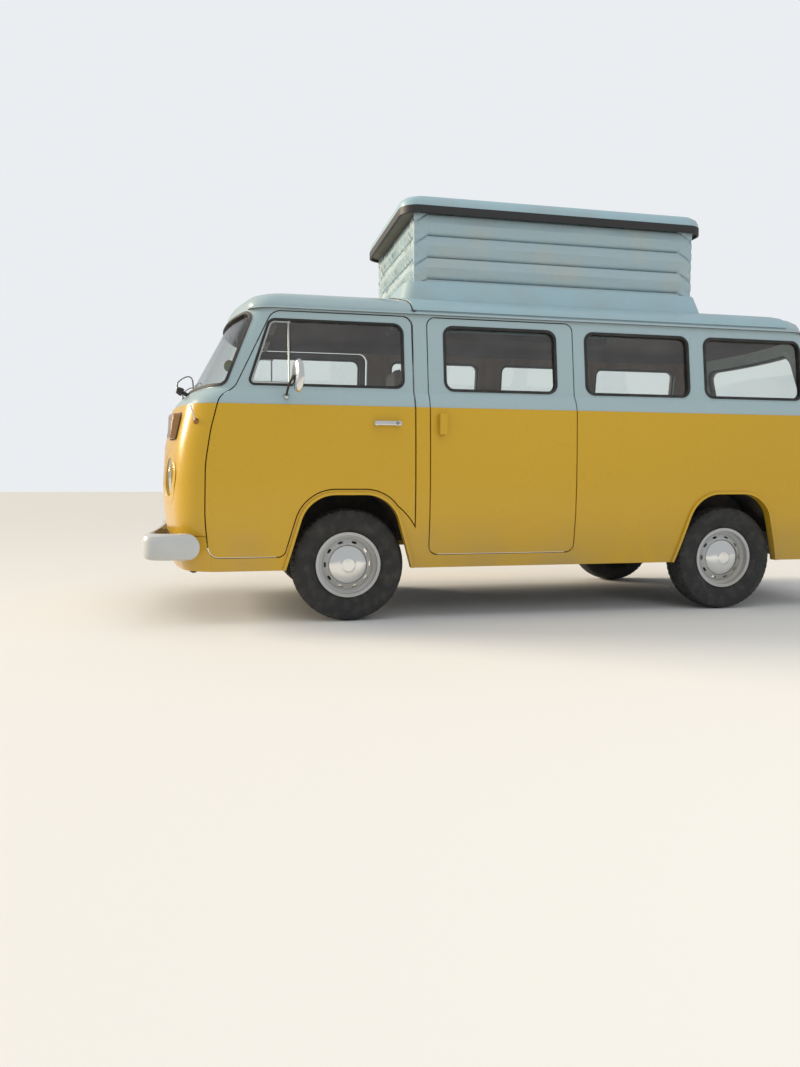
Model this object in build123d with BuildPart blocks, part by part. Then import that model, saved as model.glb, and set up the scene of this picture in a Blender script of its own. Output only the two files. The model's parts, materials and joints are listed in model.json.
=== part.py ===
from build123d import *
import os
from functools import cache
from math import atan2, degrees, sqrt

os.makedirs("parts", exist_ok=True)

# A camper van of the late 1970s: rear engine, right-hand drive, sliding side door and a
# rising roof on white bellows. Millimetres. X is across, + to the van's left; Y runs
# back; Z is up. The origin is on the ground under the middle of the van. In the names and
# tables below, d is a distance behind the front bumper's face.

# Overall sizes
LENGTH = 4505.0
WIDTH = 1720.0
WHEELBASE = 2400.0
FRONT_OVERHANG = 1110.0
FRONT_TRACK = 1395.0
REAR_TRACK = 1455.0
WALL = 40.0
PANEL_GAP = 6.0

# Heights
SILL_Z = 305.0
DOOR_BOTTOM_Z = 382.0
WAIST_Z = 780.0
BELT_Z = 1225.0
SHOULDER_Z = 1312.0
WINDOW_BOTTOM_Z = 1322.0
WINDOW_TOP_Z = 1705.0
DOOR_TOP_Z = 1748.0
GUTTER_Z = 1775.0
ROOF_Z = 1951.0
FLOOR_Z = 510.0
FLOOR_THICK = 30.0
RAIL_Z = 430.0

# Wheels and arches
TYRE_R = 325.0
TYRE_W = 185.0
RIM_R = 178.0
RIM_W = 140.0
SPINDLE_R = 17.0
SPINDLE_FIT = 0.1
ARCH_FOOT_HALF = 368.0
ARCH_FOOT_Z = 280.0
ARCH_TOP_HALF = 233.0
ARCH_TOP_Z = 728.0
ARCH_ROUND = 200.0
ARCH_BAND = 32.0
ARCH_LIP = 16.0
ARCH_FLARE = 14.0
TUB_R = 392.0
TUB_GAP = 2.0
TUB_WALL = 10.0
FRONT_TUB_X = 425.0
REAR_TUB_X = 590.0

# Cab doors
DOOR_FRONT_D = 330.0
DOOR_REAR_D = 1485.0
SWING_ROOM = 5.0
DOOR_SKIN = 15.0
DOOR_REBATE = 12.0
DOOR_ARCH_ROUND = 45.0
QUARTER_BAR_D = 779.0

# Load space doors and windows
SLIDING_DOOR_D = 1570.0
SLIDING_DOOR_LENGTH = 900.0
SIDE_WINDOW_LENGTH = 700.0
SIDE_WINDOWS_D = (1665.0, 2545.0, 3345.0)
SIDE_WINDOW_CORNER = 60.0
TAILGATE_HALF = 615.0
TAILGATE_BOTTOM_Z = 985.0
ENGINE_LID_HALF = 480.0
ENGINE_LID_BOTTOM_Z = 555.0
ENGINE_LID_TOP_Z = 955.0

# Glass and its rubber
GLASS = 5.0
GLASS_IN = 14.0
SEAL_WIDTH = 16.0
SEAL_PROUD = 4.0
SEAL_DEPTH = 30.0

# Bumpers
BUMPER_BOTTOM_Z = 375.0
BUMPER_HEIGHT = 145.0
BUMPER_THICK = 12.0
BUMPER_PROUD = 8.0
BUMPER_BOW = 16000.0
BUMPER_CORNER = 130.0
FRONT_BUMPER_END_D = 285.0
REAR_BUMPER_WRAP = 330.0

# Rising roof
LID_FRONT_D = 1465.0
LID_LENGTH = 1985.0
LID_HALF = 589.0
LID_BOTTOM_Z = 2406.0
LID_HEIGHT = 112.0
LID_WALL = 14.0
BASE_TOP_Z = 1995.0
BELLOWS_HALF = 560.0
BELLOWS_GAP = 75.0
BELLOWS_FOLD = 45.0
BELLOWS_GUSSET = 90.0
BELLOWS_WALL = 4.0
ROOF_HOLE_HALF = 500.0
ROOF_TURN = 110.0

# Steering and axles
KINGPIN_X = 600.0
STEERING_ARM = 140.0
TRACK_ROD_Z = 290.0
BEAM_AHEAD = 170.0
BEAM_TUBE_R = 30.0
BEAM_HALF = 460.0
BEAM_LOWER_Z = 250.0
BEAM_UPPER_Z = 395.0
STEERING_WHEEL_X = -400.0
STEERING_WHEEL_D = 800.0
STEERING_WHEEL_Z = 1150.0
STEERING_WHEEL_R = 212.0
STEERING_TILT = 30.0
TORSION_TUBE_D = 3030.0
TORSION_TUBE_R = 55.0
TORSION_TUBE_Z = 365.0

# Places that follow from those sizes
HALF = WIDTH / 2
FRONT_AXLE_D = FRONT_OVERHANG
REAR_AXLE_D = FRONT_OVERHANG + WHEELBASE
RISER_Z = ARCH_TOP_Z + TUB_GAP + TUB_WALL
ROOF_SPLIT_Z = DOOR_TOP_Z + PANEL_GAP / 2
DECK_Z = TAILGATE_BOTTOM_Z - PANEL_GAP
FAR = LENGTH

# Plan sections of the body, from the sill up. Columns: height, how far the side stands in
# from the widest place, nose behind the front bumper, tail ahead of the rear bumper, and the
# radii of the nose's bow, the nose's corners, the tail's bow and the tail's corners.
LOWER = (
    (SILL_Z, 52, 105, 110, 2600, 230, 3200, 190),
    (SILL_Z + 120, 29, 80, 97, 2600, 233, 3150, 193),
    (WAIST_Z - 170, 7, 56, 84, 2600, 237, 3070, 197),
    (WAIST_Z, 0, 48, 80, 2600, 240, 3000, 200),
    (WAIST_Z + 225, 2, 64, 85, 2450, 240, 3000, 200),
    (BELT_Z, 10, 110, 100, 2300, 240, 3000, 200),
)
SHOULDER = (
    (BELT_Z, 13, 114, 104, 2300, 236, 3000, 196),
    (BELT_Z + 32, 21, 132, 108, 2200, 215, 2800, 194),
    (SHOULDER_Z - 25, 37, 160, 117, 2050, 193, 2600, 192),
    (SHOULDER_Z, 57, 193, 133, 1900, 170, 2400, 190),
)
GREENHOUSE = (
    (SHOULDER_Z, 57, 193, 133, 1900, 170, 2400, 190),
    (GUTTER_Z, 115, 448, 270, 1900, 170, 2000, 190),
)
ROOF = (
    (GUTTER_Z, 115, 448, 270, 1900, 170, 2000, 190),
    (GUTTER_Z + 25, 121, 453, 276, 1900, 168, 2000, 188),
    (GUTTER_Z + 50, 136, 469, 290, 1900, 164, 2000, 184),
    (GUTTER_Z + 75, 178, 502, 320, 1900, 158, 2000, 178),
    (GUTTER_Z + 100, 262, 565, 380, 1900, 150, 2000, 170),
    (GUTTER_Z + 122, 358, 700, 490, 1900, 142, 2000, 162),
    (ROOF_Z - 33, 466, 880, 650, 1900, 132, 2000, 152),
    (ROOF_Z - 15, 590, 1060, 820, 1900, 120, 2000, 140),
    (ROOF_Z, 740, 1250, 1000, 1900, 100, 2000, 110),
)

BODY = (LOWER, SHOULDER, GREENHOUSE, ROOF)

# Side view of a cab door. Columns: d, height, radius of the corner there.
DOOR_OUTLINE = (
    (DOOR_FRONT_D, DOOR_BOTTOM_Z, 60),
    (DOOR_FRONT_D - 17, 600, 1200),
    (DOOR_FRONT_D - 10, 900, 800),
    (DOOR_FRONT_D + 22, 1090, 500),
    (DOOR_FRONT_D + 68, BELT_Z + 37, 90),
    (DOOR_FRONT_D + 152, WINDOW_BOTTOM_Z - 4, 100),
    (DOOR_FRONT_D + 360, DOOR_TOP_Z, 80),
    (DOOR_REAR_D, DOOR_TOP_Z, 60),
    (DOOR_REAR_D, DOOR_BOTTOM_Z, 20),
)

# Side view of a cab door's window. Columns: d, height, radius of the corner there.
CAB_WINDOW = (
    (DOOR_FRONT_D + 215, WINDOW_BOTTOM_Z + 8, 30),
    (DOOR_FRONT_D + 340, WINDOW_TOP_Z, 50),
    (DOOR_REAR_D - 53, WINDOW_TOP_Z, 60),
    (DOOR_REAR_D - 53, WINDOW_BOTTOM_Z + 8, 50),
)

# Side view of the windscreen, which wraps round to the front pillars. Columns: d, height,
# radius of the corner there.
SCREEN = (
    (-50, WINDOW_BOTTOM_Z, 5),
    (DOOR_FRONT_D + 102, WINDOW_BOTTOM_Z, 60),
    (DOOR_FRONT_D + 270, GUTTER_Z - 18, 45),
    (-50, GUTTER_Z - 18, 5),
)

# Front view of the tailgate's window. Columns: distance from the middle, height, radius.
REAR_WINDOW = (
    (505, WINDOW_BOTTOM_Z, 90),
    (475, WINDOW_TOP_Z - 35, 90),
    (-475, WINDOW_TOP_Z - 35, 90),
    (-505, WINDOW_BOTTOM_Z, 90),
)


def back(d):
    """Y of a place d behind the front bumper's face."""
    return d - LENGTH / 2


def end_arcs(half, end, bow, corner, inward):
    """Where one end's bow meets its corner, the corner's middle, and where it meets the side."""
    slope = (half - corner) / (bow - corner)
    run = sqrt(1 - slope**2)
    centre_y = end + inward * (bow - (bow - corner) * run)
    join = (bow * slope, end + inward * bow * (1 - run))
    middle = (
        half - corner + corner * sqrt((1 + slope) / 2),
        centre_y - inward * corner * sqrt((1 - slope) / 2),
    )
    return join, middle, (half, centre_y)


def plan_outline(section, inset):
    """One plan section of the body as a face, moved in from the outer skin by inset."""
    height, tuck, nose, tail, nose_bow, nose_corner, tail_bow, tail_corner = section
    drop = inset * min(max(height - GUTTER_Z, 0) / ROOF_TURN, 1)
    half = HALF - tuck - inset
    front, rear = back(nose + inset), back(LENGTH - tail - inset)
    f_join, f_mid, f_side = end_arcs(half, front, nose_bow - inset, nose_corner - inset, 1)
    r_join, r_mid, r_side = end_arcs(half, rear, tail_bow - inset, tail_corner - inset, -1)

    def other(point):
        return (-point[0], point[1])

    with BuildSketch(Plane.XY.offset(height - drop)) as outline:
        with BuildLine():
            ThreePointArc(other(f_join), (0, front), f_join)
            ThreePointArc(f_join, f_mid, f_side)
            Line(f_side, r_side)
            ThreePointArc(r_side, r_mid, r_join)
            ThreePointArc(r_join, (0, rear), other(r_join))
            ThreePointArc(other(r_join), other(r_mid), other(r_side))
            Line(other(r_side), other(f_side))
            ThreePointArc(other(f_side), other(f_mid), other(f_join))
        make_face()
    return outline.sketch


@cache
def body_solid(inset=0.0, stages=BODY):
    """The body's stages as one block, its skin moved in by inset (out where it is negative)."""
    with BuildPart() as block:
        for sections in stages:
            loft(sections=[plan_outline(section, inset) for section in sections], ruled=True)
    return block.part


@cache
def layer(outer_inset, inner_inset, stages=BODY):
    """What lies between two depths under the skin of some of the body's stages."""
    with BuildPart() as block:
        add(body_solid(outer_inset, stages))
        add(body_solid(inner_inset, stages), mode=Mode.SUBTRACT)
    return block.part


def across(outline, x_from, x_to):
    """Block with this side view between two distances from the middle."""
    with BuildPart() as block:
        with BuildSketch(Plane.YZ.offset(x_from)):
            add(outline)
        extrude(amount=x_to - x_from)
    return block.part


def lengthwise(outline, d_from, d_to):
    """Block with this front view between two distances behind the front bumper."""
    with BuildPart() as block:
        extrude(outline.moved(Location((0, back(d_to), 0))), amount=d_to - d_from)
    return block.part


def box_between(x_from, x_to, d_from, d_to, z_from, z_to):
    """Plain block given by its six sides."""
    with BuildPart() as block:
        with Locations(((x_from + x_to) / 2, back((d_from + d_to) / 2), (z_from + z_to) / 2)):
            Box(x_to - x_from, d_to - d_from, z_to - z_from)
    return block.part


def side_outline(corners, grow=0.0):
    """Side view given by its corners, each (d, height, radius), grown by an amount."""
    with BuildSketch() as outline:
        with BuildLine():
            points = [(back(d), z) for d, z, radius in corners]
            FilletPolyline(*points, radius=[corner[2] for corner in corners], close=True)
        make_face()
        if grow:
            offset(amount=grow, kind=Kind.INTERSECTION, mode=Mode.REPLACE)
    return outline.sketch


def front_outline(corners, grow=0.0):
    """Front view given by its corners, each (x, height, radius), grown by an amount."""
    with BuildSketch(Plane.XZ) as outline:
        with BuildLine():
            points = [(x, z) for x, z, radius in corners]
            FilletPolyline(*points, radius=[corner[2] for corner in corners], close=True)
        make_face()
        if grow:
            offset(amount=grow, kind=Kind.INTERSECTION, mode=Mode.REPLACE)
    return outline.sketch


def arch_outline(axle_d, grow=0.0):
    """Side view of a wheel arch's opening, down past the sill, grown by an amount."""
    corners = (
        (axle_d - ARCH_FOOT_HALF, ARCH_FOOT_Z, 5),
        (axle_d - ARCH_TOP_HALF, ARCH_TOP_Z, ARCH_ROUND),
        (axle_d + ARCH_TOP_HALF, ARCH_TOP_Z, ARCH_ROUND),
        (axle_d + ARCH_FOOT_HALF, ARCH_FOOT_Z, 5),
    )
    return side_outline(corners, grow)


def strip_outline(grow):
    """Side view of the front arch with the strip round it, which is fuller behind the wheel."""
    strip_r = ARCH_TOP_Z + ARCH_BAND + grow - TYRE_R
    with BuildSketch() as outline:
        with Locations((back(FRONT_AXLE_D), TYRE_R)):
            Circle(strip_r)
            half = (Align.MIN, Align.CENTER)
            Rectangle(2 * strip_r, 2 * strip_r, align=half, mode=Mode.INTERSECT)
        add(arch_outline(FRONT_AXLE_D, ARCH_BAND + grow))
    return outline.sketch


def door_outline(grow, rear_room=0.0):
    """Side view of a cab door: the front pillar's line, the roof, the rear post and the arch."""
    with BuildSketch() as outline:
        with BuildLine():
            points = [(back(d), z) for d, z, radius in DOOR_OUTLINE]
            points[-2] = (back(DOOR_REAR_D - rear_room), DOOR_TOP_Z)
            FilletPolyline(*points, radius=[corner[2] for corner in DOOR_OUTLINE], close=True)
        make_face()
        offset(amount=grow, kind=Kind.INTERSECTION, mode=Mode.REPLACE)
        add(strip_outline(-grow), mode=Mode.SUBTRACT)
        foot = (back(FRONT_AXLE_D - ARCH_FOOT_HALF), DOOR_BOTTOM_Z, 0)
        fillet(outline.vertices().sort_by_distance(foot)[0], DOOR_ARCH_ROUND + grow)
    return outline.sketch


def rounded_side(d_from, d_to, z_from, z_to, corner, grow=0.0):
    """Side view of an upright rounded rectangle, grown by an amount."""
    with BuildSketch() as outline:
        with Locations((back((d_from + d_to) / 2), (z_from + z_to) / 2)):
            RectangleRounded(d_to - d_from + 2 * grow, z_to - z_from + 2 * grow, corner + grow)
    return outline.sketch


def rounded_front(x_from, x_to, z_from, z_to, corner, grow=0.0):
    """Front view of an upright rounded rectangle, grown by an amount."""
    with BuildSketch(Plane.XZ) as outline:
        with Locations(((x_from + x_to) / 2, (z_from + z_to) / 2)):
            RectangleRounded(x_to - x_from + 2 * grow, z_to - z_from + 2 * grow, corner + grow)
    return outline.sketch


def axle_cylinder(d, radius, x_from, x_to):
    """Cylinder along X about an axle's line."""
    with BuildPart() as block:
        with BuildSketch(Plane.YZ.offset(x_from)):
            with Locations((back(d), TYRE_R)):
                Circle(radius)
        extrude(amount=x_to - x_from)
    return block.part


def both_sides(piece):
    """A piece on the van's left together with its mirror image on the right."""
    with BuildPart() as pair:
        add(piece)
        add(mirror(piece, about=Plane.YZ, mode=Mode.PRIVATE))
    return pair.part


# Skins and layers that many pieces are cut from
skin = body_solid()
room = body_solid(WALL)
GLAZED = (SHOULDER, GREENHOUSE)
glass_layer = layer(GLASS_IN, GLASS_IN + GLASS, GLAZED)
seal_layer = layer(-SEAL_PROUD, SEAL_DEPTH, GLAZED)
with BuildPart() as body_shell:
    add(skin)
    add(room, mode=Mode.SUBTRACT)
shell = body_shell.part

INNER_X, OUTER_X = 600.0, 1000.0

# Openings, each a block that is cut from the shell
door_hole = across(door_outline(PANEL_GAP / 2), INNER_X, OUTER_X)
sliding_door_side = (
    SLIDING_DOOR_D, SLIDING_DOOR_D + SLIDING_DOOR_LENGTH, DOOR_BOTTOM_Z, DOOR_TOP_Z, 50,
)
sliding_hole = across(rounded_side(*sliding_door_side, PANEL_GAP / 2), INNER_X, OUTER_X)
tailgate_front = (
    -TAILGATE_HALF, TAILGATE_HALF, TAILGATE_BOTTOM_Z, DOOR_TOP_Z, 70,
)
tailgate_hole = lengthwise(rounded_front(*tailgate_front, PANEL_GAP / 2), REAR_AXLE_D, FAR)
engine_lid_front = (
    -ENGINE_LID_HALF, ENGINE_LID_HALF, ENGINE_LID_BOTTOM_Z, ENGINE_LID_TOP_Z, 50,
)
engine_hole = lengthwise(rounded_front(*engine_lid_front, PANEL_GAP / 2), REAR_AXLE_D, FAR)
screen_hole = across(side_outline(SCREEN), -OUTER_X, OUTER_X)
screen_inside = across(side_outline(SCREEN, -SEAL_WIDTH), -OUTER_X, OUTER_X)


def side_window(d, grow=0.0):
    """Block through the left wall at one of the load space's windows."""
    place = (d, d + SIDE_WINDOW_LENGTH, WINDOW_BOTTOM_Z, WINDOW_TOP_Z, SIDE_WINDOW_CORNER)
    return across(rounded_side(*place, grow), INNER_X, OUTER_X)


# Nose: everything ahead of the doors and below the belt
HEADLAMP_X = 545.0
HEADLAMP_Z = 825.0
HEADLAMP_R = 108.0
HEADLAMP_FACE_D = 90.0
HEADLAMP_RING = 50.0
HEADLAMP_BOWL = 26.0
HEADLAMP_HOLE_R = HEADLAMP_R - 8
HEADLAMP_GAP = 1.0
NOSE_SEAM = 6.0
NOSE_SEAM_ROW = (500.0, 20, 70, 91, 2600, 235, 3100, 195)
ring_back_d = HEADLAMP_FACE_D + HEADLAMP_RING
GRILLE_HALF = 440.0
GRILLE_BOTTOM_Z = 1075.0
GRILLE_TOP_Z = 1165.0
GRILLE_BAR = 9.0
GRILLE_BARS = 5


def lamp_block(radius_front, radius_back, d_from, d_to):
    """Round block along Y at the left headlamp, with its own radius at each end."""
    with BuildPart() as block:
        with BuildSketch(Plane.XZ.offset(-back(d_from))):
            with Locations((HEADLAMP_X, HEADLAMP_Z)):
                Circle(radius_front)
        with BuildSketch(Plane.XZ.offset(-back(d_to))):
            with Locations((HEADLAMP_X, HEADLAMP_Z)):
                Circle(radius_back)
        loft(ruled=True)
    return block.part


NOSE_PROFILE = (
    (0, SILL_Z), (DOOR_FRONT_D + 15, SILL_Z), (DOOR_FRONT_D + 15, DOOR_BOTTOM_Z + 20),
    (DOOR_FRONT_D + 290, DOOR_BOTTOM_Z + 20), (DOOR_FRONT_D + 290, BELT_Z), (0, BELT_Z),
)
with BuildPart() as nose_panel:
    add(shell)
    with BuildSketch(Plane.YZ):
        with BuildLine():
            Polyline(*[(back(d), z) for d, z in NOSE_PROFILE], close=True)
        make_face()
    extrude(amount=HALF * 2, both=True, mode=Mode.INTERSECT)
    add(both_sides(door_hole), mode=Mode.SUBTRACT)
    bowl_sizes = (HEADLAMP_R + 6, HEADLAMP_R + HEADLAMP_BOWL, ring_back_d - 10, ring_back_d + 45)
    add(both_sides(lamp_block(*bowl_sizes)))
    ring_room = (HEADLAMP_R + HEADLAMP_GAP, HEADLAMP_R + HEADLAMP_GAP, 0, ring_back_d)
    add(both_sides(lamp_block(*ring_room)), mode=Mode.SUBTRACT)
    lamp_room = (HEADLAMP_HOLE_R, HEADLAMP_HOLE_R, 0, DOOR_FRONT_D)
    add(both_sides(lamp_block(*lamp_room)), mode=Mode.SUBTRACT)
    with BuildSketch(Plane.XY.offset(NOSE_SEAM_ROW[0])):
        add(plan_outline(NOSE_SEAM_ROW, -NOSE_SEAM))
        add(plan_outline(NOSE_SEAM_ROW, NOSE_SEAM), mode=Mode.SUBTRACT)
    extrude(amount=NOSE_SEAM, mode=Mode.SUBTRACT)
    grille_place = (-GRILLE_HALF, GRILLE_HALF, GRILLE_BOTTOM_Z, GRILLE_TOP_Z, 12)
    add(lengthwise(rounded_front(*grille_place), 0, DOOR_FRONT_D), mode=Mode.SUBTRACT)

# Windscreen frame: scuttle, front pillars and header
with BuildPart() as windscreen_frame:
    add(shell)
    add(box_between(-HALF, HALF, 0, DOOR_FRONT_D + 670, BELT_Z, ROOF_SPLIT_Z), mode=Mode.INTERSECT)
    add(both_sides(door_hole), mode=Mode.SUBTRACT)
    add(screen_hole, mode=Mode.SUBTRACT)

# Side panels: sill, arches, rear post and rear corner
RAIL_FRONT_D = SLIDING_DOOR_D + SLIDING_DOOR_LENGTH + 40
RAIL_LENGTH = 1380.0
REAR_PANEL_HALF = TAILGATE_HALF + PANEL_GAP
REAR_PANEL_D = LENGTH - 405
LOUVRES = 7
LOUVRE_PITCH = 22.0
LOUVRE_D = LENGTH - 500
LOUVRE_W = 9.0
LOUVRE_IN = 104.0
rear_panel_place = (-REAR_PANEL_HALF, REAR_PANEL_HALF, REAR_PANEL_D, FAR, SILL_Z, DECK_Z)
with BuildPart() as arch_lips:
    for axle_d in (FRONT_AXLE_D, REAR_AXLE_D):
        add(across(arch_outline(axle_d, ARCH_LIP), INNER_X, OUTER_X))
        add(across(arch_outline(axle_d), INNER_X, OUTER_X), mode=Mode.SUBTRACT)
    add(layer(-ARCH_FLARE, WALL * 0.6, (LOWER,)), mode=Mode.INTERSECT)

# Both side panels before the left one's sliding door and the right one's extra window
with BuildPart() as panel_blank:
    add(shell)
    add(box_between(0, OUTER_X, 0, FAR, SILL_Z, ROOF_SPLIT_Z), mode=Mode.INTERSECT)
    with BuildSketch(Plane.YZ):
        with BuildLine():
            Polyline(*[(back(d), z) for d, z in NOSE_PROFILE], close=True)
        make_face()
    extrude(amount=OUTER_X, mode=Mode.SUBTRACT)
    add(box_between(0, OUTER_X, 0, DOOR_FRONT_D + 670, BELT_Z, FAR), mode=Mode.SUBTRACT)
    add(door_hole, mode=Mode.SUBTRACT)
    add(box_between(*rear_panel_place), mode=Mode.SUBTRACT)
    add(tailgate_hole, mode=Mode.SUBTRACT)
    for axle_d in (FRONT_AXLE_D, REAR_AXLE_D):
        add(across(arch_outline(axle_d), INNER_X, OUTER_X), mode=Mode.SUBTRACT)
    add(arch_lips.part)
    for d in SIDE_WINDOWS_D[1:]:
        add(side_window(d), mode=Mode.SUBTRACT)
    for count in range(LOUVRES):
        slot_d = LOUVRE_D + count * LOUVRE_PITCH
        slot = rounded_side(slot_d, slot_d + LOUVRE_W, BELT_Z + 130, WINDOW_TOP_Z - 60, 4)
        add(across(slot, HALF - LOUVRE_IN, OUTER_X), mode=Mode.SUBTRACT)

rail = rounded_side(RAIL_FRONT_D, RAIL_FRONT_D + RAIL_LENGTH, BELT_Z - 32, BELT_Z - 6, 6)
with BuildPart() as side_panel_left:
    add(panel_blank.part)
    add(sliding_hole, mode=Mode.SUBTRACT)
    add(across(rail, HALF - 40, HALF + 6))
with BuildPart() as windowed_panel:
    add(panel_blank.part)
    add(side_window(SIDE_WINDOWS_D[0]), mode=Mode.SUBTRACT)
with BuildPart() as side_panel_right:
    add(mirror(windowed_panel.part, about=Plane.YZ, mode=Mode.PRIVATE))

# Rear panel below the tailgate, round the engine lid
with BuildPart() as rear_panel:
    add(shell)
    add(box_between(*rear_panel_place), mode=Mode.INTERSECT)
    add(engine_hole, mode=Mode.SUBTRACT)

# Roof panel with its gutter, and the hole under the rising lid
GUTTER_OUT = 15.0
GUTTER_LIP = 5.0
GUTTER_FRONT_D = 560.0
ROOF_HOLE_D = LID_FRONT_D + 120
ROOF_HOLE_LENGTH = LID_LENGTH - 240
with BuildPart() as channel:
    add(layer(GUTTER_LIP - GUTTER_OUT, -1, (GREENHOUSE,)))
    add(box_between(-FAR, FAR, 0, FAR, GUTTER_Z - 8, GUTTER_Z), mode=Mode.INTERSECT)
with BuildPart() as gutter:
    add(layer(-GUTTER_OUT, 8, (GREENHOUSE,)))
    add(box_between(-FAR, FAR, GUTTER_FRONT_D, FAR, GUTTER_Z - 13, GUTTER_Z - 1), mode=Mode.INTERSECT)
    add(channel.part, mode=Mode.SUBTRACT)
with BuildPart() as roof_panel:
    add(shell)
    add(box_between(-HALF, HALF, 0, FAR, ROOF_SPLIT_Z, FAR), mode=Mode.INTERSECT)
    add(gutter.part)
    add(screen_hole, mode=Mode.SUBTRACT)
    with BuildSketch(Plane.XY.offset(GUTTER_Z)):
        with Locations((0, back(ROOF_HOLE_D + ROOF_HOLE_LENGTH / 2))):
            RectangleRounded(2 * ROOF_HOLE_HALF, ROOF_HOLE_LENGTH, 60)
    extrude(amount=ROOF_Z, mode=Mode.SUBTRACT)

# Cab doors: an outer skin and a smaller inner frame, with the window cut out
skin_layer = layer(0, DOOR_SKIN)
frame_layer = layer(DOOR_SKIN, WALL)
with BuildPart() as door_skin:
    add(skin_layer)
    add(across(door_outline(-PANEL_GAP / 2, SWING_ROOM), INNER_X, OUTER_X), mode=Mode.INTERSECT)
with BuildPart() as door_frame:
    add(frame_layer)
    add(
        across(door_outline(-PANEL_GAP / 2 - DOOR_REBATE, SWING_ROOM), INNER_X, OUTER_X),
        mode=Mode.INTERSECT,
    )
with BuildPart() as door_left:
    add(door_skin.part)
    add(door_frame.part)
    add(across(side_outline(CAB_WINDOW), INNER_X, OUTER_X), mode=Mode.SUBTRACT)
with BuildPart() as door_right:
    add(mirror(door_left.part, about=Plane.YZ, mode=Mode.PRIVATE))

# Door glass: the quarter light and the drop glass, either side of the upright bar
QUARTER_BAR = 18.0
with BuildPart() as door_glass_left:
    add(glass_layer)
    add(across(side_outline(CAB_WINDOW, -SEAL_WIDTH), INNER_X, OUTER_X), mode=Mode.INTERSECT)
    bar_place = (QUARTER_BAR_D - QUARTER_BAR / 2, QUARTER_BAR_D + QUARTER_BAR / 2)
    add(box_between(INNER_X, OUTER_X, *bar_place, 0, FAR), mode=Mode.SUBTRACT)
with BuildPart() as door_glass_right:
    add(mirror(door_glass_left.part, about=Plane.YZ, mode=Mode.PRIVATE))

# Door fittings: window rubber with the upright bar, outside handle, mirror on its arm
MIRROR_FOOT_D = 757.0
MIRROR_FOOT_Z = 1266.0
MIRROR_HEAD = (HALF + 105, 805.0, 1370.0)
MIRROR_HALF = (58.0, 90.0)
MIRROR_TURN = 24.0
# Columns: how far behind the head's middle, how much smaller than its widest outline
MIRROR_SECTIONS = ((12, 4), (8, 0), (-2, 3), (-12, 22))
HANDLE_D = 1320.0
HANDLE_Z = 1130.0
with BuildPart() as door_rubber:
    add(seal_layer)
    add(across(side_outline(CAB_WINDOW), INNER_X, OUTER_X), mode=Mode.INTERSECT)
    add(across(side_outline(CAB_WINDOW, -SEAL_WIDTH), INNER_X, OUTER_X), mode=Mode.SUBTRACT)
with BuildPart() as quarter_bar:
    add(layer(6, SEAL_DEPTH, GLAZED))
    add(across(side_outline(CAB_WINDOW, -SEAL_WIDTH), INNER_X, OUTER_X), mode=Mode.INTERSECT)
    add(box_between(INNER_X, OUTER_X, *bar_place, 0, FAR), mode=Mode.INTERSECT)
mirror_foot_x = HALF - 30
mirror_arm_path = (
    (mirror_foot_x, back(MIRROR_FOOT_D), MIRROR_FOOT_Z),
    (mirror_foot_x + 70, back(MIRROR_FOOT_D), MIRROR_FOOT_Z + 18),
    (MIRROR_HEAD[0] - 12, back(MIRROR_FOOT_D + 16), MIRROR_HEAD[2] - 18),
    (MIRROR_HEAD[0], back(MIRROR_HEAD[1]), MIRROR_HEAD[2]),
)
head_place = (MIRROR_HEAD[0], back(MIRROR_HEAD[1]), MIRROR_HEAD[2])
head_plane = Plane(Location(head_place, (0, 0, MIRROR_TURN)) * Location((0, 0, 0), (-90, 0, 0)))
with BuildPart() as door_mirror:
    with BuildLine() as arm_line:
        FilletPolyline(*mirror_arm_path, radius=14)
    with BuildSketch(Plane(arm_line.line @ 0, z_dir=arm_line.line % 0)):
        Circle(7)
    sweep()
    for behind, shrink in MIRROR_SECTIONS:
        with BuildSketch(head_plane.offset(behind)):
            Ellipse(*[half - shrink for half in MIRROR_HALF])
    loft(ruled=True)
    with BuildSketch(Plane.YZ.offset(mirror_foot_x - 12)):
        with Locations((back(MIRROR_FOOT_D), MIRROR_FOOT_Z)):
            Circle(20)
    extrude(amount=22)
    add(skin, mode=Mode.SUBTRACT)
with BuildPart() as door_handle:
    with BuildSketch(Plane.YZ.offset(HALF - 20)):
        with Locations((back(HANDLE_D - 60), HANDLE_Z), (back(HANDLE_D + 60), HANDLE_Z)):
            Circle(13)
    extrude(amount=48)
    with BuildSketch(Plane.YZ.offset(HALF + 16)):
        with Locations((back(HANDLE_D), HANDLE_Z)):
            SlotOverall(158, 30)
    extrude(amount=14)
    add(skin, mode=Mode.SUBTRACT)
with BuildPart() as door_fittings_left:
    add(door_rubber.part)
    add(quarter_bar.part)
    add(door_mirror.part)
    add(door_handle.part)
with BuildPart() as door_fittings_right:
    add(mirror(door_fittings_left.part, about=Plane.YZ, mode=Mode.PRIVATE))

# Sliding door, with the window that matches the others
with BuildPart() as sliding_door:
    add(shell)
    add(across(rounded_side(*sliding_door_side, -PANEL_GAP / 2), INNER_X, OUTER_X), mode=Mode.INTERSECT)
    add(side_window(SIDE_WINDOWS_D[0]), mode=Mode.SUBTRACT)
    with BuildSketch(Plane.YZ.offset(HALF - 30)):
        with Locations((back(SLIDING_DOOR_D + 70), HANDLE_Z)):
            RectangleRounded(44, 120, 10)
    extrude(amount=60)

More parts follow.
